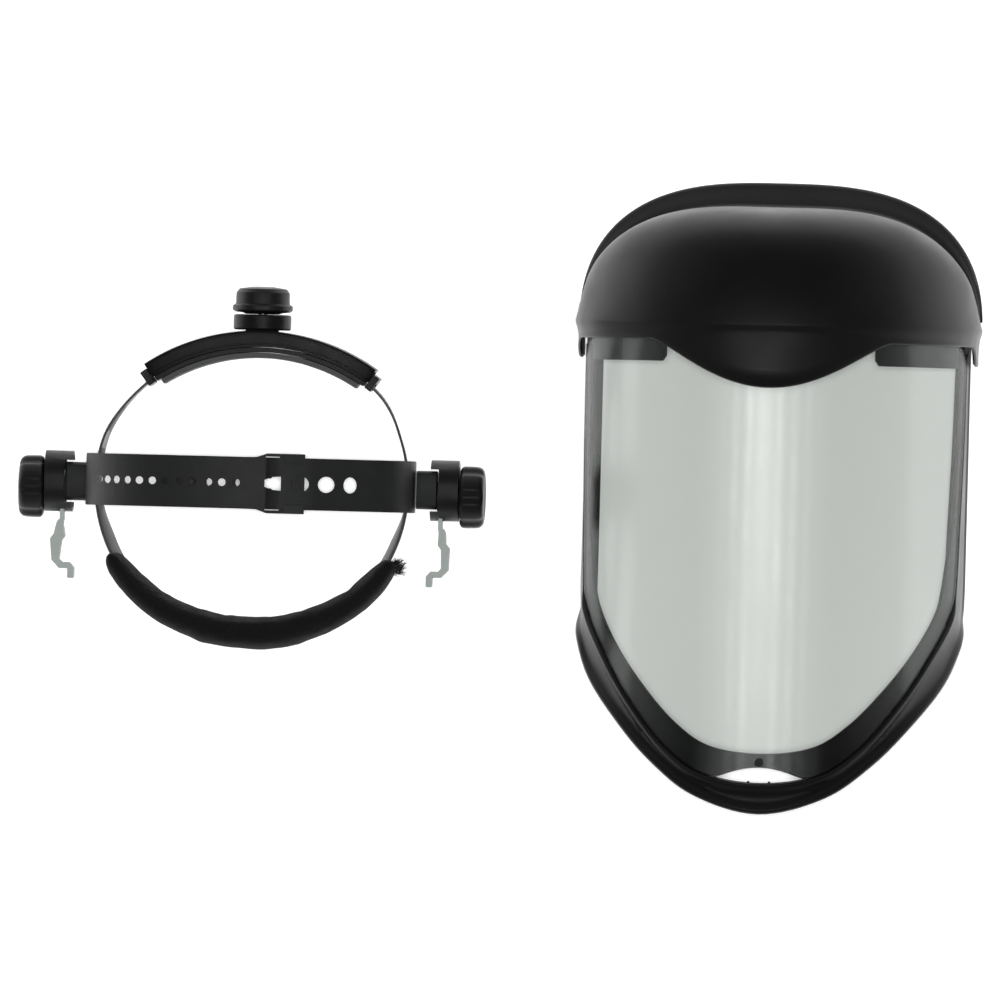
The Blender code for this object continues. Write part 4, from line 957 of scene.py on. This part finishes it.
def make_knob(side):
    """Round tension knob: six broad grips with scooped gaps between them and a shallow cap."""
    def lobes(angle, radius):
        grip = max(radius - 0.0120, 0.0) / 0.0052
        scoop = max(-math.cos(KNOB_GRIPS * angle), 0.0) ** 1.6
        return 1.0 + grip * (0.028 - 0.115 * scoop)

    inner, outer = KNOB_INNER, KNOB_OUTER
    profile = [(0.0105, inner), (0.0150, inner + 0.0003), (0.0163, inner + 0.0009),
               (0.0170, inner + 0.0018), (0.0172, inner + 0.0030), (0.0172, inner + 0.0060),
               (0.0171, inner + 0.0096), (0.0168, outer - 0.0030), (0.0162, outer - 0.0018),
               (0.0151, outer - 0.0008), (0.0138, outer - 0.0004), (0.0120, outer - 0.0002),
               (0.0108, outer - 0.0008), (0.0060, outer - 0.0009), (0.0010, outer - 0.0009)]
    solid = turned_about_pivot(profile, 144, lobes)
    node = "right_tension_knob" if side > 0 else "left_tension_knob"
    piece_for(node, solid if side > 0 else flipped(solid), HEADGEAR_AT, 50)


def ribbon(path, halves):
    """Outline of a ribbon that follows an open 2-D path with a half width at each point."""
    left, right = [], []
    for (point, normal), half in zip(path_frames([Vector(p) for p in path]), halves):
        left.append(point - normal * half)
        right.append(point + normal * half)
    return left + right[::-1]


def make_clip_blade(side):
    """Moulded arm of the clip, thicker than its spring core, with a thumb pad on the left one."""
    swelling = THUMB_SWELLING[side]
    halves = [0.0016, 0.0019, 0.0020 + swelling, 0.0021 + swelling, 0.0021, 0.0019, 0.0018,
              0.0018, 0.0017]
    outline = ribbon(CLIP_PATH, halves)
    rings = [[Vector((side * p.x, p.y, PIVOT_Z + up)) for p in outline]
             for up in (-BLADE_HALF_HEIGHT, BLADE_HALF_HEIGHT)]
    name = "right" if side > 0 else "left"
    blade = link_mesh(f"{name}_clip_blade", solid_mesh("blade", loft(rings), HEADGEAR_AT), clip_grey)
    soften_edges(blade, 0.0006)
    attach(blade, f"{name}_clip")


def make_ratchet_foot():
    """Pedestal that joins the round ratchet cup to the cover."""
    half, low, high = 0.0088, 0.0905, 0.0943
    rings = [[Vector((x * spread, y, BAND_MID_Z + z * spread)) for x, z in
              ((-half, -half), (half, -half), (half, half), (-half, half))]
             for y, spread in ((low, 1.25), (low + 0.0022, 1.05), (high, 1.0))]
    foot = link_mesh("ratchet_foot", solid_mesh("foot", loft(rings), REAR_AT), shell_black)
    soften_edges(foot, 0.0008)
    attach(foot, "rear_adjuster")


def make_fray():
    """Loose fibres at the torn right end of the sweatband."""
    chance = random.Random(7)
    end = band_point(PAD_ENDS[0])
    points, faces = [], []
    for _ in range(FIBRES):
        root = Vector((end.x + chance.uniform(0.0, 0.0055), end.y - chance.uniform(0.0015, 0.0085),
                       chance.uniform(0.005, 0.032)))
        way = Vector((chance.uniform(0.25, 1.0), chance.uniform(-0.25, 0.8), chance.uniform(-0.3, 0.3)))
        curl = Vector((chance.uniform(-1, 1), chance.uniform(-1, 1), chance.uniform(-1, 1))) * 0.0015
        reach, width = chance.uniform(0.0020, 0.0062), chance.uniform(0.00016, 0.00040)
        base = len(points)
        for step in range(FIBRE_STEPS + 1):
            share = step / FIBRE_STEPS
            spot = root + way.normalized() * reach * share + curl * share * share
            for k in range(3):
                turn = 2 * math.pi * k / 3
                points.append(spot + Vector((math.cos(turn), 0.3 * math.sin(turn), math.sin(turn)))
                              * width * (1 - 0.75 * share))
            if step:
                row = base + 3 * (step - 1)
                faces += [(row + k, row + (k + 1) % 3, row + 3 + (k + 1) % 3, row + 3 + k)
                          for k in range(3)]
        tip = base + 3 * FIBRE_STEPS
        faces += [(base, base + 1, base + 2), (tip, tip + 1, tip + 2)]
    fray = link_mesh("sweatband_fray", solid_mesh("fray", (points, faces), HEADGEAR_AT), fabric)
    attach(fray, "headband")


def make_kept_parts():
    """CAD shapes that are right as they are: rounded copies of what shows, finishes on the rest."""
    for node, bevel in ROUNDED.items():
        softened_copy(node, bevel)
    for node, obj in frame["nodes"].items():
        if not obj.hide_render:
            obj.data.materials.clear()
            obj.data.materials.append(FINISHES[SLOTS[node]])


# ---------------------------------------------------------------- scene

bpy.context.scene.view_settings.view_transform = "Standard"
make_camera()
make_world()
make_light("key", CAMERA_EYE, KEY_SIZE, KEY_POWER, mirrored=False)
make_light("rear_softbox", *REAR_SOFTBOX)
make_light("front_softbox", *FRONT_SOFTBOX)
for step, power in enumerate(STRIP_POWER):
    place = (STRIP_PANEL * (step - (len(STRIP_POWER) - 1) / 2), 0.0, STRIP_HEIGHT)
    make_light(f"overhead_strip_{step}", place, (STRIP_PANEL, STRIP_WIDTH), power)
make_floor(floor_white)
make_brow_guard()
make_chin_frame()
for side in (-1, 1):
    make_vent_post(side)
make_sheets()
make_front_band()
for side in (-1, 1):
    make_side_strap(side)
    make_knob(side)
    make_clip_blade(side)
make_rear_adjuster()
make_ratchet_foot()
make_sweatband()
make_fray()
make_kept_parts()
